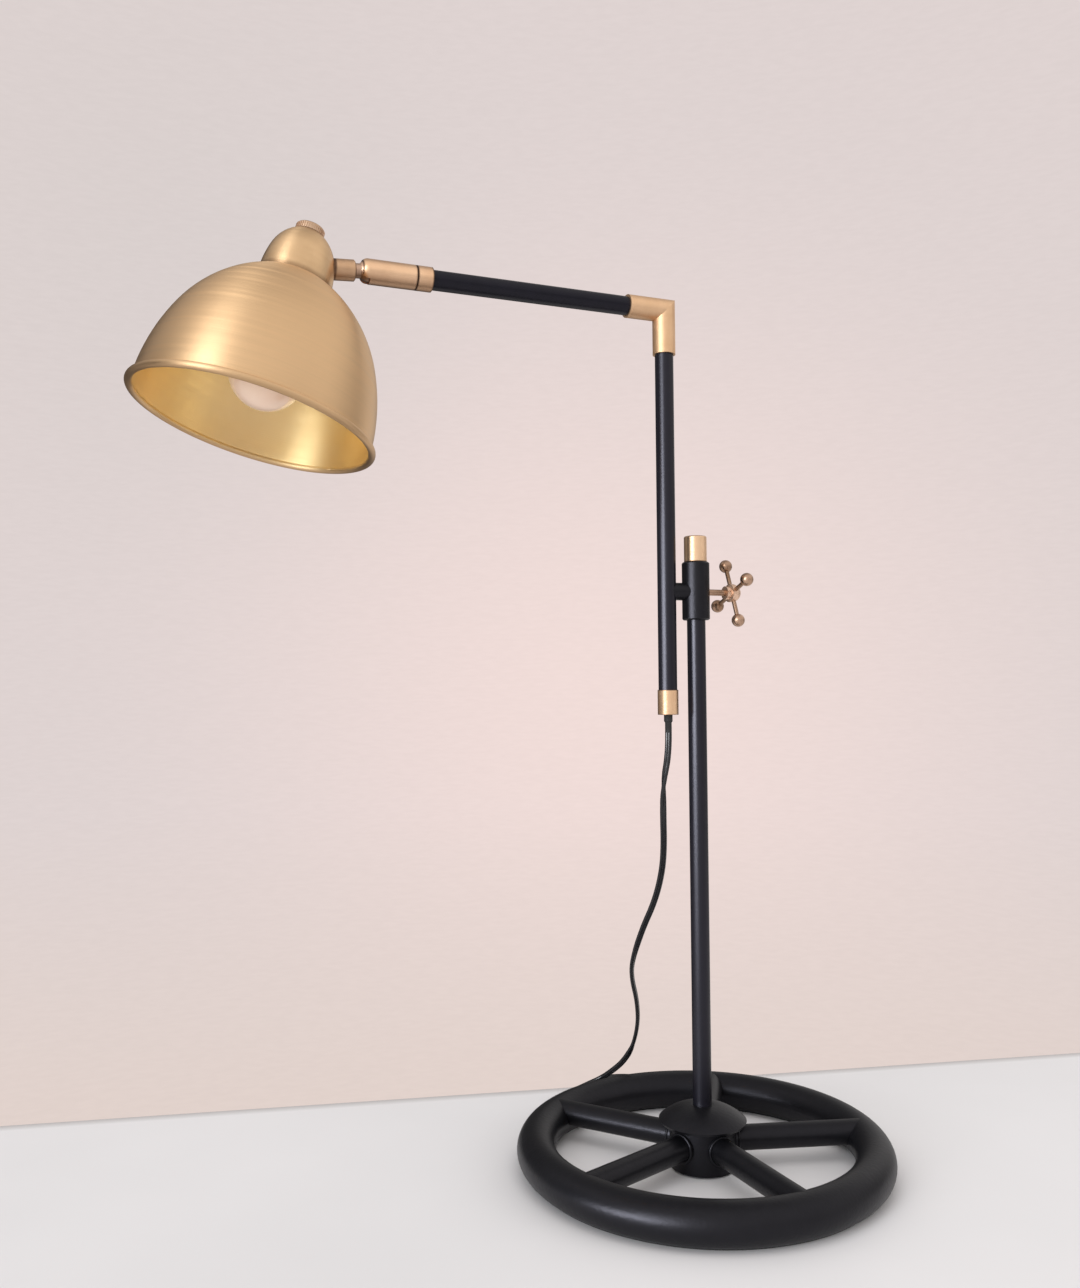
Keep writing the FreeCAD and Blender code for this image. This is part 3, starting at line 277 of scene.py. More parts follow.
def tone(tree, fac, dark, light):
    """A colour between two by a factor."""
    blend = tree.nodes.new("ShaderNodeMix")
    blend.data_type = "RGBA"
    blend.inputs["A"].default_value = (*dark, 1)
    blend.inputs["B"].default_value = (*light, 1)
    tree.links.new(fac, blend.inputs["Factor"])
    return blend.outputs["Result"]


def relief(tree, shader, height, depth):
    """Fine unevenness of the surface, as deep as depth."""
    bump = tree.nodes.new("ShaderNodeBump")
    bump.inputs["Distance"].default_value = depth
    bump.inputs["Strength"].default_value = 1.0
    tree.links.new(height, bump.inputs["Height"])
    tree.links.new(bump.outputs["Normal"], shader.inputs["Normal"])


sheath, tree, shader = finish("flex_sheath")
coordinates = tree.nodes.new("ShaderNodeTexCoord")
tree.links.new(tone(tree, uneven(tree, coordinates.outputs["Object"], 90, 3, 0, 1),
                    (0.003, 0.003, 0.004), (0.007, 0.007, 0.008)), shader.inputs["Base Color"])
tree.links.new(uneven(tree, coordinates.outputs["Object"], 260, 2, 0.22, 0.32), shader.inputs["Roughness"])
relief(tree, shader, uneven(tree, coordinates.outputs["Object"], 240, 2, 0, 1), 0.00002)

for piece in (flex_hang, flex_fall):
    piece.data.materials.append(sheath)
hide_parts("cord_drop", "cord_hank")
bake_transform(flex_hang)
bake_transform(flex_fall)
wear("inner_flex", sheath)


# Table top: a plain white board with a faint cloudy tone and a thin line of painted shade along the wall's
# foot.
# Beyond that line it is clear, so that the wall's own tone is seen right down to it.
def towards(tree, fac, tone_socket, colour):
    """A tone that turns to another colour by a factor."""
    blend = tree.nodes.new("ShaderNodeMix")
    blend.data_type = "RGBA"
    blend.inputs["B"].default_value = (*colour, 1)
    tree.links.new(fac, blend.inputs["Factor"])
    tree.links.new(tone_socket, blend.inputs["A"])
    return blend.outputs["Result"]


wall_foot = Vector((-0.04824, 0.17236))
wall_normal = Vector((0.2125, 0.9772))
foot_reach = wall_foot.dot(wall_normal)
foot_dark = 0.008
bpy.ops.object.select_all(action="DESELECT")
bpy.ops.mesh.primitive_plane_add(size=5, location=(0, 0, 0))
floor = bpy.context.active_object
floor.name = "table_top"
board, tree, shader = finish("white_board")
coordinates = tree.nodes.new("ShaderNodeTexCoord")
shader.inputs["Roughness"].default_value = 0.75
shader.inputs["Specular IOR Level"].default_value = 0.25
reach_back = tree.nodes.new("ShaderNodeVectorMath")
reach_back.operation = "DOT_PRODUCT"
reach_back.inputs[1].default_value = (wall_normal.x, wall_normal.y, 0)
tree.links.new(coordinates.outputs["Object"], reach_back.inputs[0])
# painted shade: the board darkens in a thin band along the wall's foot
foot_shade_line = spread(tree, reach_back.outputs["Value"], 0, 0.7, foot_reach - 0.003, foot_reach + foot_dark)
board_tone = tone(tree, uneven(tree, coordinates.outputs["Object"], 3, 3, 0, 1),
                  (0.715, 0.712, 0.722), (0.765, 0.760, 0.771))
tree.links.new(towards(tree, foot_shade_line, board_tone, (0.36, 0.33, 0.32)),
               shader.inputs["Base Color"])
beyond = tree.nodes.new("ShaderNodeMath")
beyond.operation = "GREATER_THAN"
beyond.inputs[1].default_value = foot_reach + foot_dark
tree.links.new(reach_back.outputs["Value"], beyond.inputs[0])
clear = tree.nodes.new("ShaderNodeBsdfTransparent")
join = tree.nodes.new("ShaderNodeMixShader")
tree.links.new(beyond.outputs["Value"], join.inputs["Fac"])
tree.links.new(shader.outputs["BSDF"], join.inputs[1])
tree.links.new(clear.outputs["BSDF"], join.inputs[2])
tree.links.new(join.outputs["Shader"], tree.nodes["Material Output"].inputs["Surface"])
floor.data.materials.append(board)


# Room: the camera sees a pale wall in warm pink grey, with a painted pool of light behind the post,
# painted shade high on the left, and a little yellower low down. The room that lights the lamp is pale
# too, but dimmer to both sides and overhead, and the room that shows in its metal and black coats is
# darker there and behind it.
world = bpy.data.worlds.new("room")
bpy.context.scene.world = world
world.use_nodes = True
tree = world.node_tree
background = tree.nodes["Background"]
background.inputs["Strength"].default_value = 1.0
coordinates = tree.nodes.new("ShaderNodeTexCoord")
way = coordinates.outputs["Generated"]


def soft_spot(tree, source, place, size, most):
    """As much as most at a place and nothing beyond size from it, fading smoothly."""
    apart = tree.nodes.new("ShaderNodeVectorMath")
    apart.operation = "DISTANCE"
    apart.inputs[1].default_value = place
    tree.links.new(source, apart.inputs[0])
    fade = tree.nodes.new("ShaderNodeMapRange")
    fade.inputs["From Min"].default_value = 0.0
    fade.inputs["From Max"].default_value = size
    fade.inputs["To Min"].default_value = most
    fade.inputs["To Max"].default_value = 0.0
    fade.interpolation_type = "SMOOTHSTEP"
    tree.links.new(apart.outputs["Value"], fade.inputs["Value"])
    return fade.outputs["Result"]


room_tone = tone(tree, soft_spot(tree, way, (-0.92, 0.38, 0.0), 1.12, 1.0),
                 (0.86, 0.82, 0.80), (0.17, 0.16, 0.16))
for place, size, most, colour in [
    ((0.97, 0.25, -0.05), 0.7, 0.8, (0.30, 0.28, 0.27)),
    ((0, 0, 1), 0.9, 0.7, (0.40, 0.39, 0.40)),
]:
    room_tone = towards(tree, soft_spot(tree, way, place, size, most), room_tone, colour)
tree.links.new(room_tone, background.inputs["Color"])

# what its metal and black coats mirror: dark behind, overhead and to both sides, dim in front
level_way = tree.nodes.new("ShaderNodeMapping")
level_way.inputs["Scale"].default_value = (1, 1, 2.2)
tree.links.new(way, level_way.inputs["Vector"])
level_band = level_way.outputs["Vector"]
mirror_tone = tone(tree, soft_spot(tree, way, (-0.10, 0.99, 0.05), 1.25, 1.5),
                   (0.95, 0.915, 0.895), (0.09, 0.085, 0.085))
for source, place, size, most, colour in [
    (level_band, (0.50, -0.87, -0.1), 1.0, 1.0, (0.50, 0.485, 0.485)),
    (way, (-0.96, 0.30, 0.10), 0.80, 1.4, (0.12, 0.115, 0.115)),
    (way, (0.99, 0.05, 0.0), 0.75, 0.9, (0.20, 0.19, 0.19)),
    (way, (0.10, 0.35, 0.93), 0.95, 0.9, (0.25, 0.24, 0.24)),
]:
    mirror_tone = towards(tree, soft_spot(tree, source, place, size, most), mirror_tone, colour)
mirror_room = tree.nodes.new("ShaderNodeBackground")
tree.links.new(mirror_tone, mirror_room.inputs["Color"])

# what the camera sees: the wall, with a faint weave, a painted pool of light behind the post and painted
# shade high on the left
# painted pool of light on the wall behind the post
wall_tone = tone(tree, soft_spot(tree, way, (0.437, 0.899, -0.008), 0.5, 1.0),
                 (0.735, 0.652, 0.640), (0.880, 0.722, 0.690))
height = tree.nodes.new("ShaderNodeSeparateXYZ")
tree.links.new(way, height.inputs["Vector"])
lowness = spread(tree, height.outputs["Z"], 0, 0.8, -0.10, -0.34)
wall_tone = towards(tree, lowness, wall_tone, (0.760, 0.640, 0.585))
# painted shade high on the left of the wall
painted_shade_high_left = soft_spot(tree, way, (0.05, 0.93, 0.38), 0.35, 0.6)
wall_tone = towards(tree, painted_shade_high_left, wall_tone, (0.68, 0.62, 0.605))
weave_place = tree.nodes.new("ShaderNodeMapping")
weave_place.inputs["Scale"].default_value = (90, 90, 420)
tree.links.new(way, weave_place.inputs["Vector"])
weave = uneven(tree, weave_place.outputs["Vector"], 1.0, 2, 0.986, 1.012)
wall = tree.nodes.new("ShaderNodeBackground")
tree.links.new(weave, wall.inputs["Strength"])
tree.links.new(wall_tone, wall.inputs["Color"])
rays = tree.nodes.new("ShaderNodeLightPath")
seen = tree.nodes.new("ShaderNodeMath")
seen.operation = "MAXIMUM"
tree.links.new(rays.outputs["Is Camera Ray"], seen.inputs[0])
tree.links.new(rays.outputs["Is Transmission Ray"], seen.inputs[1])
either = tree.nodes.new("ShaderNodeMixShader")
tree.links.new(rays.outputs["Is Glossy Ray"], either.inputs["Fac"])
tree.links.new(background.outputs["Background"], either.inputs[1])
tree.links.new(mirror_room.outputs["Background"], either.inputs[2])
choose = tree.nodes.new("ShaderNodeMixShader")
tree.links.new(seen.outputs["Value"], choose.inputs["Fac"])
tree.links.new(either.outputs["Shader"], choose.inputs[1])
tree.links.new(wall.outputs["Background"], choose.inputs[2])
tree.links.new(choose.outputs["Shader"], tree.nodes["World Output"].inputs["Surface"])


# Daylight: a window to the left in two parts, two soft fills from the right and overhead that do
# not show in the metal, and a strip that lights only the black coats and the flex, where it draws
# the bright line down each tube.
def window(name, place, aim, wide, high, watts, colour, in_metal):
    """A rectangular lamp that faces its aim."""
    data = bpy.data.lights.new(name, "AREA")
    data.shape = "RECTANGLE"
    data.size = wide
    data.size_y = high
    data.energy = watts
    data.color = colour
    lamp = bpy.data.objects.new(name, data)
    bpy.context.scene.collection.objects.link(lamp)
    lamp.location = place
    lamp.rotation_mode = "QUATERNION"
    lamp.rotation_quaternion = (Vector(aim) - Vector(place)).to_track_quat("-Z", "Y")
    lamp.visible_glossy = in_metal
    return lamp


window("window_upper", (-3.30, -2.10, 1.80), (-0.1, 0, 0.3), 1.6, 1.8, 38, (0.90, 0.95, 1.0), True)
window("window_lower", (-3.70, -1.60, 0.70), (-0.1, 0, 0.2), 1.6, 1.3, 38, (0.90, 0.95, 1.0), True)
window("fill_right", (1.5, -1.3, 0.9), (-0.1, 0, 0.3), 1.0, 1.2, 6, (1.0, 0.97, 0.94), False)
window("fill_above", (-0.2, -0.3, 2.2), (-0.1, 0, 0.2), 1.8, 1.4, 11, (1.0, 0.98, 0.97), False)

# a low bright strip for the black coats alone
base_names = ["base_ring", "base_hub", "hub_cap"] + ["base_spoke_%d" % number for number in range(1, 6)]
black_parts = bpy.data.collections.new("black_parts")
for name in ["post", "riser_tube", "arm_tube", "collar", "collar_stub"] + base_names:
    black_parts.objects.link(nodes[name])
for piece in (flex_hang, flex_fall):
    black_parts.objects.link(piece)
strip = window("strip_light", (-3.60, -1.30, 0.35), (-0.1, 0, 0.2), 3.0, 1.3, 178, (0.92, 0.95, 1.0),
               True)
strip.light_linking.receiver_collection = black_parts

bpy.context.scene.view_settings.view_transform = "Standard"


# Base casting: ring, five bars, hub and domed cap in iron, finished in a satin black coat that
# keeps a faint orange peel. The bars run into the ring and the hub.
coat, coat_in, coat_out = new_group(
    "black_coat",
    [("Vector", "NodeSocketVector", None), ("Peel", "NodeSocketFloat", 420.0),
     ("Smear", "NodeSocketFloat", 14.0)],
    [("Height", "NodeSocketFloat"), ("Sheen", "NodeSocketFloat"), ("Tone", "NodeSocketFloat")])
peel = coat.nodes.new("ShaderNodeTexNoise")
peel.inputs["Detail"].default_value = 3
coat.links.new(coat_in.outputs["Vector"], peel.inputs["Vector"])
coat.links.new(coat_in.outputs["Peel"], peel.inputs["Scale"])
coat.links.new(peel.outputs["Fac"], coat_out.inputs["Height"])
smear = coat.nodes.new("ShaderNodeTexNoise")
smear.inputs["Detail"].default_value = 4
coat.links.new(coat_in.outputs["Vector"], smear.inputs["Vector"])
coat.links.new(coat_in.outputs["Smear"], smear.inputs["Scale"])
coat.links.new(smear.outputs["Fac"], coat_out.inputs["Sheen"])
speck = coat.nodes.new("ShaderNodeTexNoise")
speck.inputs["Scale"].default_value = 160
speck.inputs["Detail"].default_value = 2
coat.links.new(coat_in.outputs["Vector"], speck.inputs["Vector"])
coat.links.new(speck.outputs["Fac"], coat_out.inputs["Tone"])


def black_finish(name, dark, light, gloss, rough, peel_scale, peel_depth, shine):
    """A black coat with orange peel, uneven in gloss between two roughnesses."""
    material, tree, shader = finish(name)
    coordinates = tree.nodes.new("ShaderNodeTexCoord")
    group = tree.nodes.new("ShaderNodeGroup")
    group.node_tree = coat
    group.inputs["Peel"].default_value = peel_scale
    tree.links.new(coordinates.outputs["Object"], group.inputs["Vector"])
    tree.links.new(tone(tree, group.outputs["Tone"], dark, light), shader.inputs["Base Color"])
    tree.links.new(spread(tree, group.outputs["Sheen"], gloss, rough), shader.inputs["Roughness"])
    shader.inputs["Specular IOR Level"].default_value = shine
    shader.inputs["Specular Tint"].default_value = (0.90, 0.88, 1.0, 1)
    relief(tree, shader, group.outputs["Height"], peel_depth)
    return material


iron_dark = (0.0025, 0.0025, 0.003)
iron_light = (0.005, 0.005, 0.006)
casting = black_finish("black_casting", iron_dark, iron_light, 0.32, 0.42, 420, 0.00012, 0.26)
for name in base_names:
    wear(name, casting)


# Feet: a felt ring under the casting and a felt disc under the hub, cut from dark wool felt and
# glued on.
felt, tree, shader = finish("dark_felt")
coordinates = tree.nodes.new("ShaderNodeTexCoord")
tree.links.new(tone(tree, uneven(tree, coordinates.outputs["Object"], 700, 4, 0, 1),
                    (0.020, 0.020, 0.021), (0.05, 0.05, 0.052)), shader.inputs["Base Color"])
shader.inputs["Roughness"].default_value = 0.95
shader.inputs["Sheen Weight"].default_value = 0.4
relief(tree, shader, uneven(tree, coordinates.outputs["Object"], 1200, 4, 0, 1), 0.0004)
wear("ring_felt", felt)
wear("hub_felt", felt)


# Tubes: post, riser and arm are drawn steel in semi-gloss black powder coat, a little less shiny on
# the arm. The clamp collar and the stub that joins it to the riser have the casting's coat.
tube_dark = (0.0025, 0.0025, 0.004)
tube_light = (0.005, 0.0045, 0.008)
tube_coat = black_finish("black_tube", tube_dark, tube_light, 0.28, 0.35, 700, 0.00004, 0.39)
for name in ("post", "riser_tube"):
    wear(name, tube_coat)
arm_coat = black_finish("black_arm", tube_dark, tube_light, 0.28, 0.35, 700, 0.00004, 0.24)
wear("arm_tube", arm_coat)
collar_coat = black_finish("black_collar", iron_dark, iron_light, 0.32, 0.42, 500, 0.0001, 0.26)
for name in ("collar", "collar_stub"):
    wear(name, collar_coat)


# Brass fittings: elbow, sleeves, housing, cap and wheel are turned from bar and brushed round. They
# are browned at their ends by tarnishing and painted shade, darker underneath by painted shade, and pale
# where hands rub them.
brush, brush_in, brush_out = new_group(
    "lathe_brush",
    [("Vector", "NodeSocketVector", None), ("Lines", "NodeSocketFloat", 2600.0)],
    [("Height", "NodeSocketFloat"), ("Streak", "NodeSocketFloat"), ("Patina", "NodeSocketFloat")])
apart = brush.nodes.new("ShaderNodeSeparateXYZ")
brush.links.new(brush_in.outputs["Vector"], apart.inputs["Vector"])
line_place = brush.nodes.new("ShaderNodeCombineXYZ")
for letter in ("X", "Y"):
    squeeze = brush.nodes.new("ShaderNodeMath")
    squeeze.operation = "MULTIPLY"
    squeeze.inputs[1].default_value = 0.02
    brush.links.new(apart.outputs[letter], squeeze.inputs[0])
    brush.links.new(squeeze.outputs["Value"], line_place.inputs[letter])
brush.links.new(apart.outputs["Z"], line_place.inputs["Z"])
lines = brush.nodes.new("ShaderNodeTexNoise")
lines.inputs["Detail"].default_value = 4
brush.links.new(line_place.outputs["Vector"], lines.inputs["Vector"])
brush.links.new(brush_in.outputs["Lines"], lines.inputs["Scale"])
brush.links.new(lines.outputs["Fac"], brush_out.inputs["Height"])
streak = brush.nodes.new("ShaderNodeTexNoise")
streak.inputs["Scale"].default_value = 500
streak.inputs["Detail"].default_value = 3
brush.links.new(line_place.outputs["Vector"], streak.inputs["Vector"])
brush.links.new(streak.outputs["Fac"], brush_out.inputs["Streak"])
patina = brush.nodes.new("ShaderNodeTexNoise")
patina.inputs["Scale"].default_value = 45
patina.inputs["Detail"].default_value = 5
brush.links.new(brush_in.outputs["Vector"], patina.inputs["Vector"])
brush.links.new(patina.outputs["Fac"], brush_out.inputs["Patina"])


def brass_finish(name, turn, brown, bright, gloss, rough, depth=0.00005, line_scale=2600):
    """Brushed brass whose lines run round an axis; turn brings that axis to Z."""
    material, tree, shader = finish(name)
    coordinates = tree.nodes.new("ShaderNodeTexCoord")
    mapping = tree.nodes.new("ShaderNodeMapping")
    mapping.inputs["Rotation"].default_value = turn
    tree.links.new(coordinates.outputs["Object"], mapping.inputs["Vector"])
    group = tree.nodes.new("ShaderNodeGroup")
    group.node_tree = brush
    group.inputs["Lines"].default_value = line_scale
    tree.links.new(mapping.outputs["Vector"], group.inputs["Vector"])
    rubbed = spread(tree, group.outputs["Patina"], 0, 1, 0.34, 0.66)
    tree.links.new(tone(tree, rubbed, brown, bright), shader.inputs["Base Color"])
    shader.inputs["Metallic"].default_value = 1.0
    tree.links.new(spread(tree, group.outputs["Streak"], gloss, rough), shader.inputs["Roughness"])
    relief(tree, shader, group.outputs["Height"], depth)
    return material


def spun_gloss(material, axis, middle, amount):
    """Draws highlights out along the profile, as fine lines round an axis do."""
    tree = material.node_tree
    shader = tree.nodes["Principled BSDF"]
    coordinates = tree.nodes["Texture Coordinate"]
    from_middle = tree.nodes.new("ShaderNodeVectorMath")
    from_middle.operation = "SUBTRACT"
    from_middle.inputs[1].default_value = tuple(middle)
    tree.links.new(coordinates.outputs["Object"], from_middle.inputs[0])
    around = tree.nodes.new("ShaderNodeVectorMath")
    around.operation = "CROSS_PRODUCT"
    around.inputs[1].default_value = tuple(axis)
    tree.links.new(from_middle.outputs["Vector"], around.inputs[0])
    tree.links.new(around.outputs["Vector"], shader.inputs["Tangent"])
    shader.inputs["Anisotropic"].default_value = amount
    shader.inputs["Anisotropic Rotation"].default_value = 0.25


def tarnish_and_shade_ends(material, axis, first, last, reach, colour):
    """Browning within reach of both ends of a piece that runs from first to last along an axis: partly
    tarnished metal, partly painted shade where it meets the next part.
    """
    tree = material.node_tree
    shader = tree.nodes["Principled BSDF"]
    along = tree.nodes.new("ShaderNodeVectorMath")
    along.operation = "DOT_PRODUCT"
    along.inputs[1].default_value = tuple(axis)
    tree.links.new(tree.nodes["Texture Coordinate"].outputs["Object"], along.inputs[0])
    clean = tree.nodes.new("ShaderNodeMath")
    clean.operation = "MINIMUM"
    for number, (end, inward) in enumerate(((first, reach), (last, -reach))):
        edge = tree.nodes.new("ShaderNodeMapRange")
        edge.inputs["From Min"].default_value = end
        edge.inputs["From Max"].default_value = end + inward
        edge.interpolation_type = "SMOOTHSTEP"
        tree.links.new(along.outputs["Value"], edge.inputs["Value"])
        tree.links.new(edge.outputs["Result"], clean.inputs[number])
    plain = shader.inputs["Base Color"].links[0].from_socket
    both = tree.nodes.new("ShaderNodeMix")
    both.data_type = "RGBA"
    both.inputs["A"].default_value = (*colour, 1)
    tree.links.new(clean.outputs["Value"], both.inputs["Factor"])
    tree.links.new(plain, both.inputs["B"])
    tree.links.new(both.outputs["Result"], shader.inputs["Base Color"])


def painted_under_shade(material, colour):
    """Painted shade: a darker brown on the underside of a level piece, where it turns away from the light.
    """
    tree = material.node_tree
    shader = tree.nodes["Principled BSDF"]
    slope = tree.nodes.new("ShaderNodeSeparateXYZ")
    tree.links.new(tree.nodes["Texture Coordinate"].outputs["Normal"], slope.inputs["Vector"])
    under = tree.nodes.new("ShaderNodeMapRange")
    under.inputs["From Min"].default_value = -0.05
    under.inputs["From Max"].default_value = -0.95
    under.inputs["To Max"].default_value = 0.85
    under.interpolation_type = "SMOOTHSTEP"
    tree.links.new(slope.outputs["Z"], under.inputs["Value"])
    plain = shader.inputs["Base Color"].links[0].from_socket
    tree.links.new(towards(tree, under.outputs["Result"], plain, colour), shader.inputs["Base Color"])


arm_way = Vector((1, 0, 0))
arm_middle = Vector((-0.19, 0, 0.579))
tarnish_and_end_shade = (0.26, 0.15, 0.09)
dark_tarnish_and_shade = (0.14, 0.08, 0.05)
under_shade_brown = (0.34, 0.21, 0.13)
level_turn = (0, math.radians(90), 0)
riser_along = -0.0225
for name in ("post_cap", "riser_ferrule"):
    upright_brass = brass_finish(name + "_brass", (0, 0, 0), (0.86, 0.57, 0.35), (0.98, 0.69, 0.45),
                                 0.38, 0.48)
    spun_gloss(upright_brass, (0, 0, 1), (0 if name == "post_cap" else riser_along, 0, 0.3), 0.6)
    low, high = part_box(name)
    # tarnishing and painted shade at the ends where cap and ferrule meet the next parts
    tarnish_and_shade_ends(upright_brass, (0, 0, 1), low[2], high[2], 0.0007, tarnish_and_end_shade)
    wear(name, upright_brass)
elbow_brass = brass_finish("elbow_brass", level_turn, (0.76, 0.49, 0.28), (0.90, 0.61, 0.38), 0.42, 0.52)
# painted shade darkens the elbow's underside
painted_under_shade(elbow_brass, (0.50, 0.32, 0.19))
wear("elbow", elbow_brass)
for name in ("arm_end_collar", "swivel_housing"):
    turned_brass = brass_finish(name + "_brass", level_turn, (0.80, 0.51, 0.31), (0.94, 0.63, 0.40),
                                0.36, 0.46)
    spun_gloss(turned_brass, arm_way, arm_middle, 0.6)
    low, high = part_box(name)
    # painted shade darkens the undersides of the collar and housing
    painted_under_shade(turned_brass, under_shade_brown)
    # tarnishing and painted shade at the ends where the fittings meet
    tarnish_and_shade_ends(turned_brass, arm_way, low[0], high[0], 0.0011, dark_tarnish_and_shade)
    wear(name, turned_brass)
coupler_brass = brass_finish("coupler_brass", level_turn, (0.58, 0.36, 0.21), (0.76, 0.50, 0.31),
                             0.36, 0.46)
low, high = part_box("coupler")
# painted shade darkens the coupler's underside
painted_under_shade(coupler_brass, under_shade_brown)
# tarnishing and painted shade at the coupler's ends, in the joint
tarnish_and_shade_ends(coupler_brass, arm_way, low[0] + 0.001, high[0], 0.0015, dark_tarnish_and_shade)
wear("coupler", coupler_brass)
# painted shade: the ball and shank sit in the joint's narrow neck, so their brown is made darker, and
# darker again underneath
shank_brass_painted_shade = brass_finish("shank_brass_painted_shade", level_turn, (0.46, 0.29, 0.19), (0.68, 0.46, 0.33), 0.34, 0.44)
painted_under_shade(shank_brass_painted_shade, dark_tarnish_and_shade)
wear("ball_shank", shank_brass_painted_shade)
wheel_brass = brass_finish("wheel_brass", level_turn, (0.66, 0.44, 0.31), (0.95, 0.68, 0.51), 0.34, 0.46)
rod_brass = brass_finish("rod_brass", level_turn, (0.26, 0.16, 0.10), (0.50, 0.33, 0.23), 0.30, 0.42)
ball_brass = brass_finish("ball_brass", level_turn, (0.30, 0.18, 0.11), (0.84, 0.57, 0.42), 0.26, 0.38)
wear("wheel_hub", wheel_brass)
wear("wheel_balls", ball_brass)
wear("wheel_rods", rod_brass)


# Shade and cup: spun sheet brass, brushed round outside in a satin champagne tone, browned at the
# edges by tarnishing and painted shade, and bright gold inside the shade. The shade's rim is rolled over.
head_turn = (math.radians(2.4), math.radians(-16), 0)
shade_middle = Vector((-0.29302, -0.00339, 0.49820))
sheet_lines = 1500
shade_brass, tree, shader = finish("shade_brass")
coordinates = tree.nodes.new("ShaderNodeTexCoord")
mapping = tree.nodes.new("ShaderNodeMapping")
mapping.inputs["Rotation"].default_value = head_turn
tree.links.new(coordinates.outputs["Object"], mapping.inputs["Vector"])
group = tree.nodes.new("ShaderNodeGroup")
group.node_tree = brush
group.inputs["Lines"].default_value = sheet_lines
tree.links.new(mapping.outputs["Vector"], group.inputs["Vector"])
from_middle = tree.nodes.new("ShaderNodeVectorMath")
from_middle.operation = "SUBTRACT"
from_middle.inputs[1].default_value = tuple(shade_middle)
tree.links.new(coordinates.outputs["Object"], from_middle.inputs[0])
facing = tree.nodes.new("ShaderNodeVectorMath")
facing.operation = "DOT_PRODUCT"
tree.links.new(from_middle.outputs["Vector"], facing.inputs[0])
tree.links.new(coordinates.outputs["Normal"], facing.inputs[1])
inside = tree.nodes.new("ShaderNodeMath")
inside.operation = "LESS_THAN"
inside.inputs[1].default_value = 0.0
tree.links.new(facing.outputs["Value"], inside.inputs[0])
outside_tone = tone(tree, group.outputs["Streak"], (0.74, 0.495, 0.275), (0.88, 0.600, 0.340))
inside_tone = tone(tree, group.outputs["Patina"], (0.98, 0.75, 0.37), (1.0, 0.81, 0.46))
sides = tree.nodes.new("ShaderNodeMix")
sides.data_type = "RGBA"
tree.links.new(inside.outputs["Value"], sides.inputs["Factor"])
tree.links.new(outside_tone, sides.inputs["A"])
tree.links.new(inside_tone, sides.inputs["B"])
tree.links.new(sides.outputs["Result"], shader.inputs["Base Color"])
shader.inputs["Metallic"].default_value = 1.0
tree.links.new(spread(tree, group.outputs["Streak"], 0.40, 0.50), shader.inputs["Roughness"])
relief(tree, shader, group.outputs["Height"], 0.00006)
shade_axis = Vector((0.2756374, 0.0402535, 0.9604185))
cup_brass = brass_finish("cup_brass", head_turn, (0.72, 0.485, 0.27), (0.86, 0.59, 0.335), 0.34, 0.44,
                         line_scale=sheet_lines)
# browning at the shade's rim and top and the cup's ends: tarnishing and painted shade where the pieces
# meet
for name, sheet, amount, reach, colour in [
    ("shade", shade_brass, 0.75, 0.0035, (0.58, 0.38, 0.21)),
    ("cup", cup_brass, 0.8, 0.0040, (0.46, 0.29, 0.16)),
]:
    spun_gloss(sheet, shade_axis, shade_middle, amount)
    heights = [vertex.co.dot(shade_axis) for vertex in nodes[name].data.vertices]
    tarnish_and_shade_ends(sheet, shade_axis, min(heights), max(heights), reach, colour)
    wear(name, sheet)


# Switch knob: a turned brass disc with a rounded top edge and a knurled side, pressed on the
# switch's shaft above the cup.
rim_centre = Vector((-0.298532, -0.004191, 0.478997))
knob_height = 0.12560
knurl_height = 0.0003
knob_middle = rim_centre + shade_axis * knob_height
knob_turn = shade_axis.to_track_quat("Z", "Y").to_euler()
bpy.ops.object.select_all(action="DESELECT")
bpy.ops.mesh.primitive_cylinder_add(vertices=80, radius=0.0086, depth=0.0046, location=knob_middle,
                                    rotation=knob_turn)
knob = bpy.context.active_object
knob.name = "knurled_knob"
bpy.ops.object.transform_apply(location=True, rotation=True, scale=True)
bpy.ops.object.mode_set(mode="EDIT")
bpy.ops.mesh.select_mode(type="FACE")
bpy.ops.mesh.select_all(action="DESELECT")
bpy.ops.object.mode_set(mode="OBJECT")
for face in knob.data.polygons:
    face.select = face.normal.dot(shade_axis) > 0.9
bpy.ops.object.mode_set(mode="EDIT")
bpy.ops.mesh.bevel(offset=0.0011, segments=3, affect="EDGES")
bpy.ops.mesh.select_all(action="DESELECT")
bpy.ops.object.mode_set(mode="OBJECT")
sides_found = [face for face in knob.data.polygons if abs(face.normal.dot(shade_axis)) < 0.1]
across_axis = shade_axis.orthogonal().normalized()
other_axis = shade_axis.cross(across_axis)
sides_found.sort(key=lambda face: math.atan2((face.center - knob_middle).dot(other_axis),
                                             (face.center - knob_middle).dot(across_axis)))
for number, face in enumerate(sides_found):
    face.select = number % 2 == 0
bpy.ops.object.mode_set(mode="EDIT")
bpy.ops.mesh.extrude_region_shrink_fatten(TRANSFORM_OT_shrink_fatten={"value": knurl_height})
bpy.ops.object.mode_set(mode="OBJECT")
bpy.ops.object.shade_smooth_by_angle(angle=math.radians(30))
knob_brass = brass_finish("knob_brass", head_turn, (0.56, 0.38, 0.25), (0.84, 0.61, 0.44), 0.3, 0.42,
                          depth=0.00004)
knob.data.materials.append(knob_brass)
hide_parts("switch_knob")
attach(knob, "knob")


# Bulb: a blown opal globe with a glossy skin; its warm pink tone is painted light thrown on it by the gold
# shade. It screws into the lampholder by a small steel cap.
opal, tree, shader = finish("opal_glass")
coordinates = tree.nodes.new("ShaderNodeTexCoord")
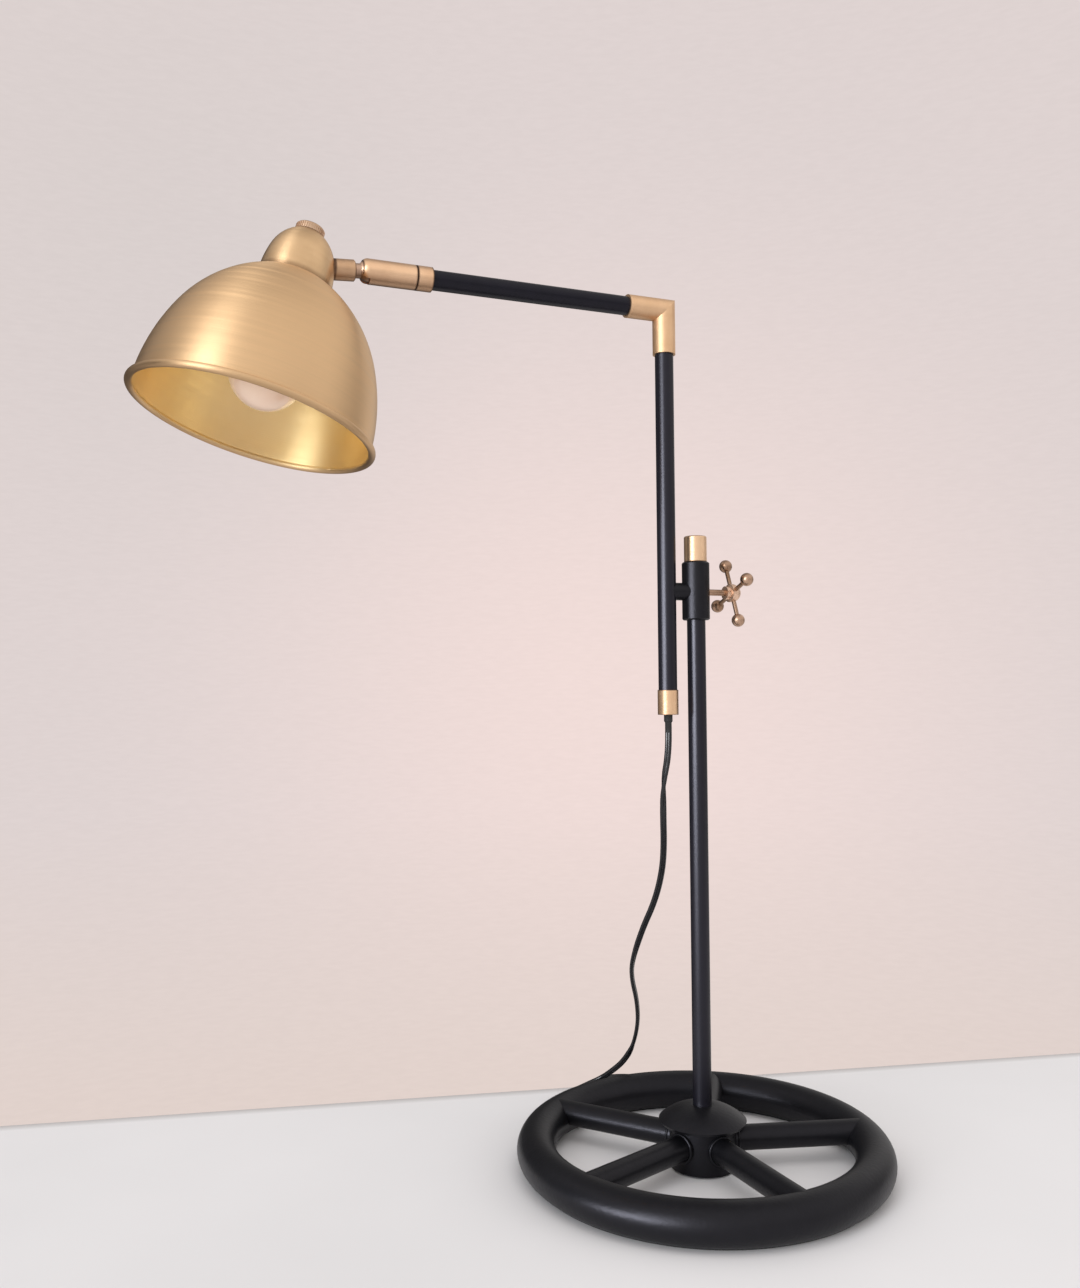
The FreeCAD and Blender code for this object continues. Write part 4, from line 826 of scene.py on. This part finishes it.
# painted light: the globe's warm pink stands in for light from the shade's gold inside
tree.links.new(tone(tree, uneven(tree, coordinates.outputs["Object"], 60, 2, 0, 1),
                    (0.98, 0.71, 0.54), (1.0, 0.77, 0.60)), shader.inputs["Base Color"])
tree.links.new(uneven(tree, coordinates.outputs["Object"], 40, 2, 0.10, 0.16), shader.inputs["Roughness"])
shader.inputs["Coat Weight"].default_value = 0.6
shader.inputs["Coat Roughness"].default_value = 0.05
wear("bulb_globe", opal)


# Steel parts: plated insert, stud, washers, nuts, spindle, nipple, shaft and bulb cap, mostly out
# of sight. The clamp's screw is brass, like the rods of its wheel.
plated, tree, shader = finish("plated_steel")
coordinates = tree.nodes.new("ShaderNodeTexCoord")
tree.links.new(tone(tree, uneven(tree, coordinates.outputs["Object"], 300, 3, 0, 1),
                    (0.50, 0.50, 0.49), (0.68, 0.68, 0.66)), shader.inputs["Base Color"])
shader.inputs["Metallic"].default_value = 1.0
tree.links.new(uneven(tree, coordinates.outputs["Object"], 500, 2, 0.28, 0.42), shader.inputs["Roughness"])
for name in ("post_insert", "post_stud", "post_washer", "post_nut", "swivel_spindle", "spring_washer",
             "cup_nut", "shade_ring", "holder_nipple", "switch_nut", "switch_shaft", "bulb_cap"):
    wear(name, plated)
wear("clamp_screw", rod_brass)


# Contacts and plug blades: the lampholder's thread shell, its centre contact and the plug's pins,
# in plain bright brass.
contact, tree, shader = finish("contact_brass")
coordinates = tree.nodes.new("ShaderNodeTexCoord")
tree.links.new(tone(tree, uneven(tree, coordinates.outputs["Object"], 400, 3, 0, 1),
                    (0.66, 0.50, 0.26), (0.80, 0.62, 0.34)), shader.inputs["Base Color"])
shader.inputs["Metallic"].default_value = 1.0
tree.links.new(uneven(tree, coordinates.outputs["Object"], 600, 2, 0.25, 0.38), shader.inputs["Roughness"])
for name in ("thread_shell", "centre_contact", "plug_pins"):
    wear(name, contact)


# Moulded parts: lampholder, switch body, plug and tie in black plastic, and the dark nylon liner,
# clamp pad, ball seat and rubber ring inside the joints.
def moulded(name, dark, light, gloss, rough, grain, depth):
    """A dull moulded finish, a little uneven in tone and gloss, with a fine grain."""
    material, tree, shader = finish(name)
    coordinates = tree.nodes.new("ShaderNodeTexCoord")
    tree.links.new(tone(tree, uneven(tree, coordinates.outputs["Object"], 120, 3, 0, 1), dark, light),
                   shader.inputs["Base Color"])
    tree.links.new(uneven(tree, coordinates.outputs["Object"], 200, 2, gloss, rough),
                   shader.inputs["Roughness"])
    relief(tree, shader, uneven(tree, coordinates.outputs["Object"], grain, 3, 0, 1), depth)
    return material


black_plastic = moulded("black_plastic", (0.014, 0.014, 0.015), (0.026, 0.026, 0.027), 0.34, 0.46,
                        900, 0.00006)
for name in ("lampholder", "rotary_switch", "plug_body", "hank_tie"):
    wear(name, black_plastic)
nylon = moulded("dark_nylon", (0.04, 0.04, 0.04), (0.07, 0.07, 0.07), 0.45, 0.6, 700, 0.00008)
for name in ("slide_liner", "clamp_pad", "ball_seat"):
    wear(name, nylon)
rubber = moulded("black_rubber", (0.012, 0.012, 0.012), (0.022, 0.022, 0.022), 0.6, 0.75, 700, 0.0001)
for name in ("tension_ring", "flex_grip"):
    wear(name, rubber)
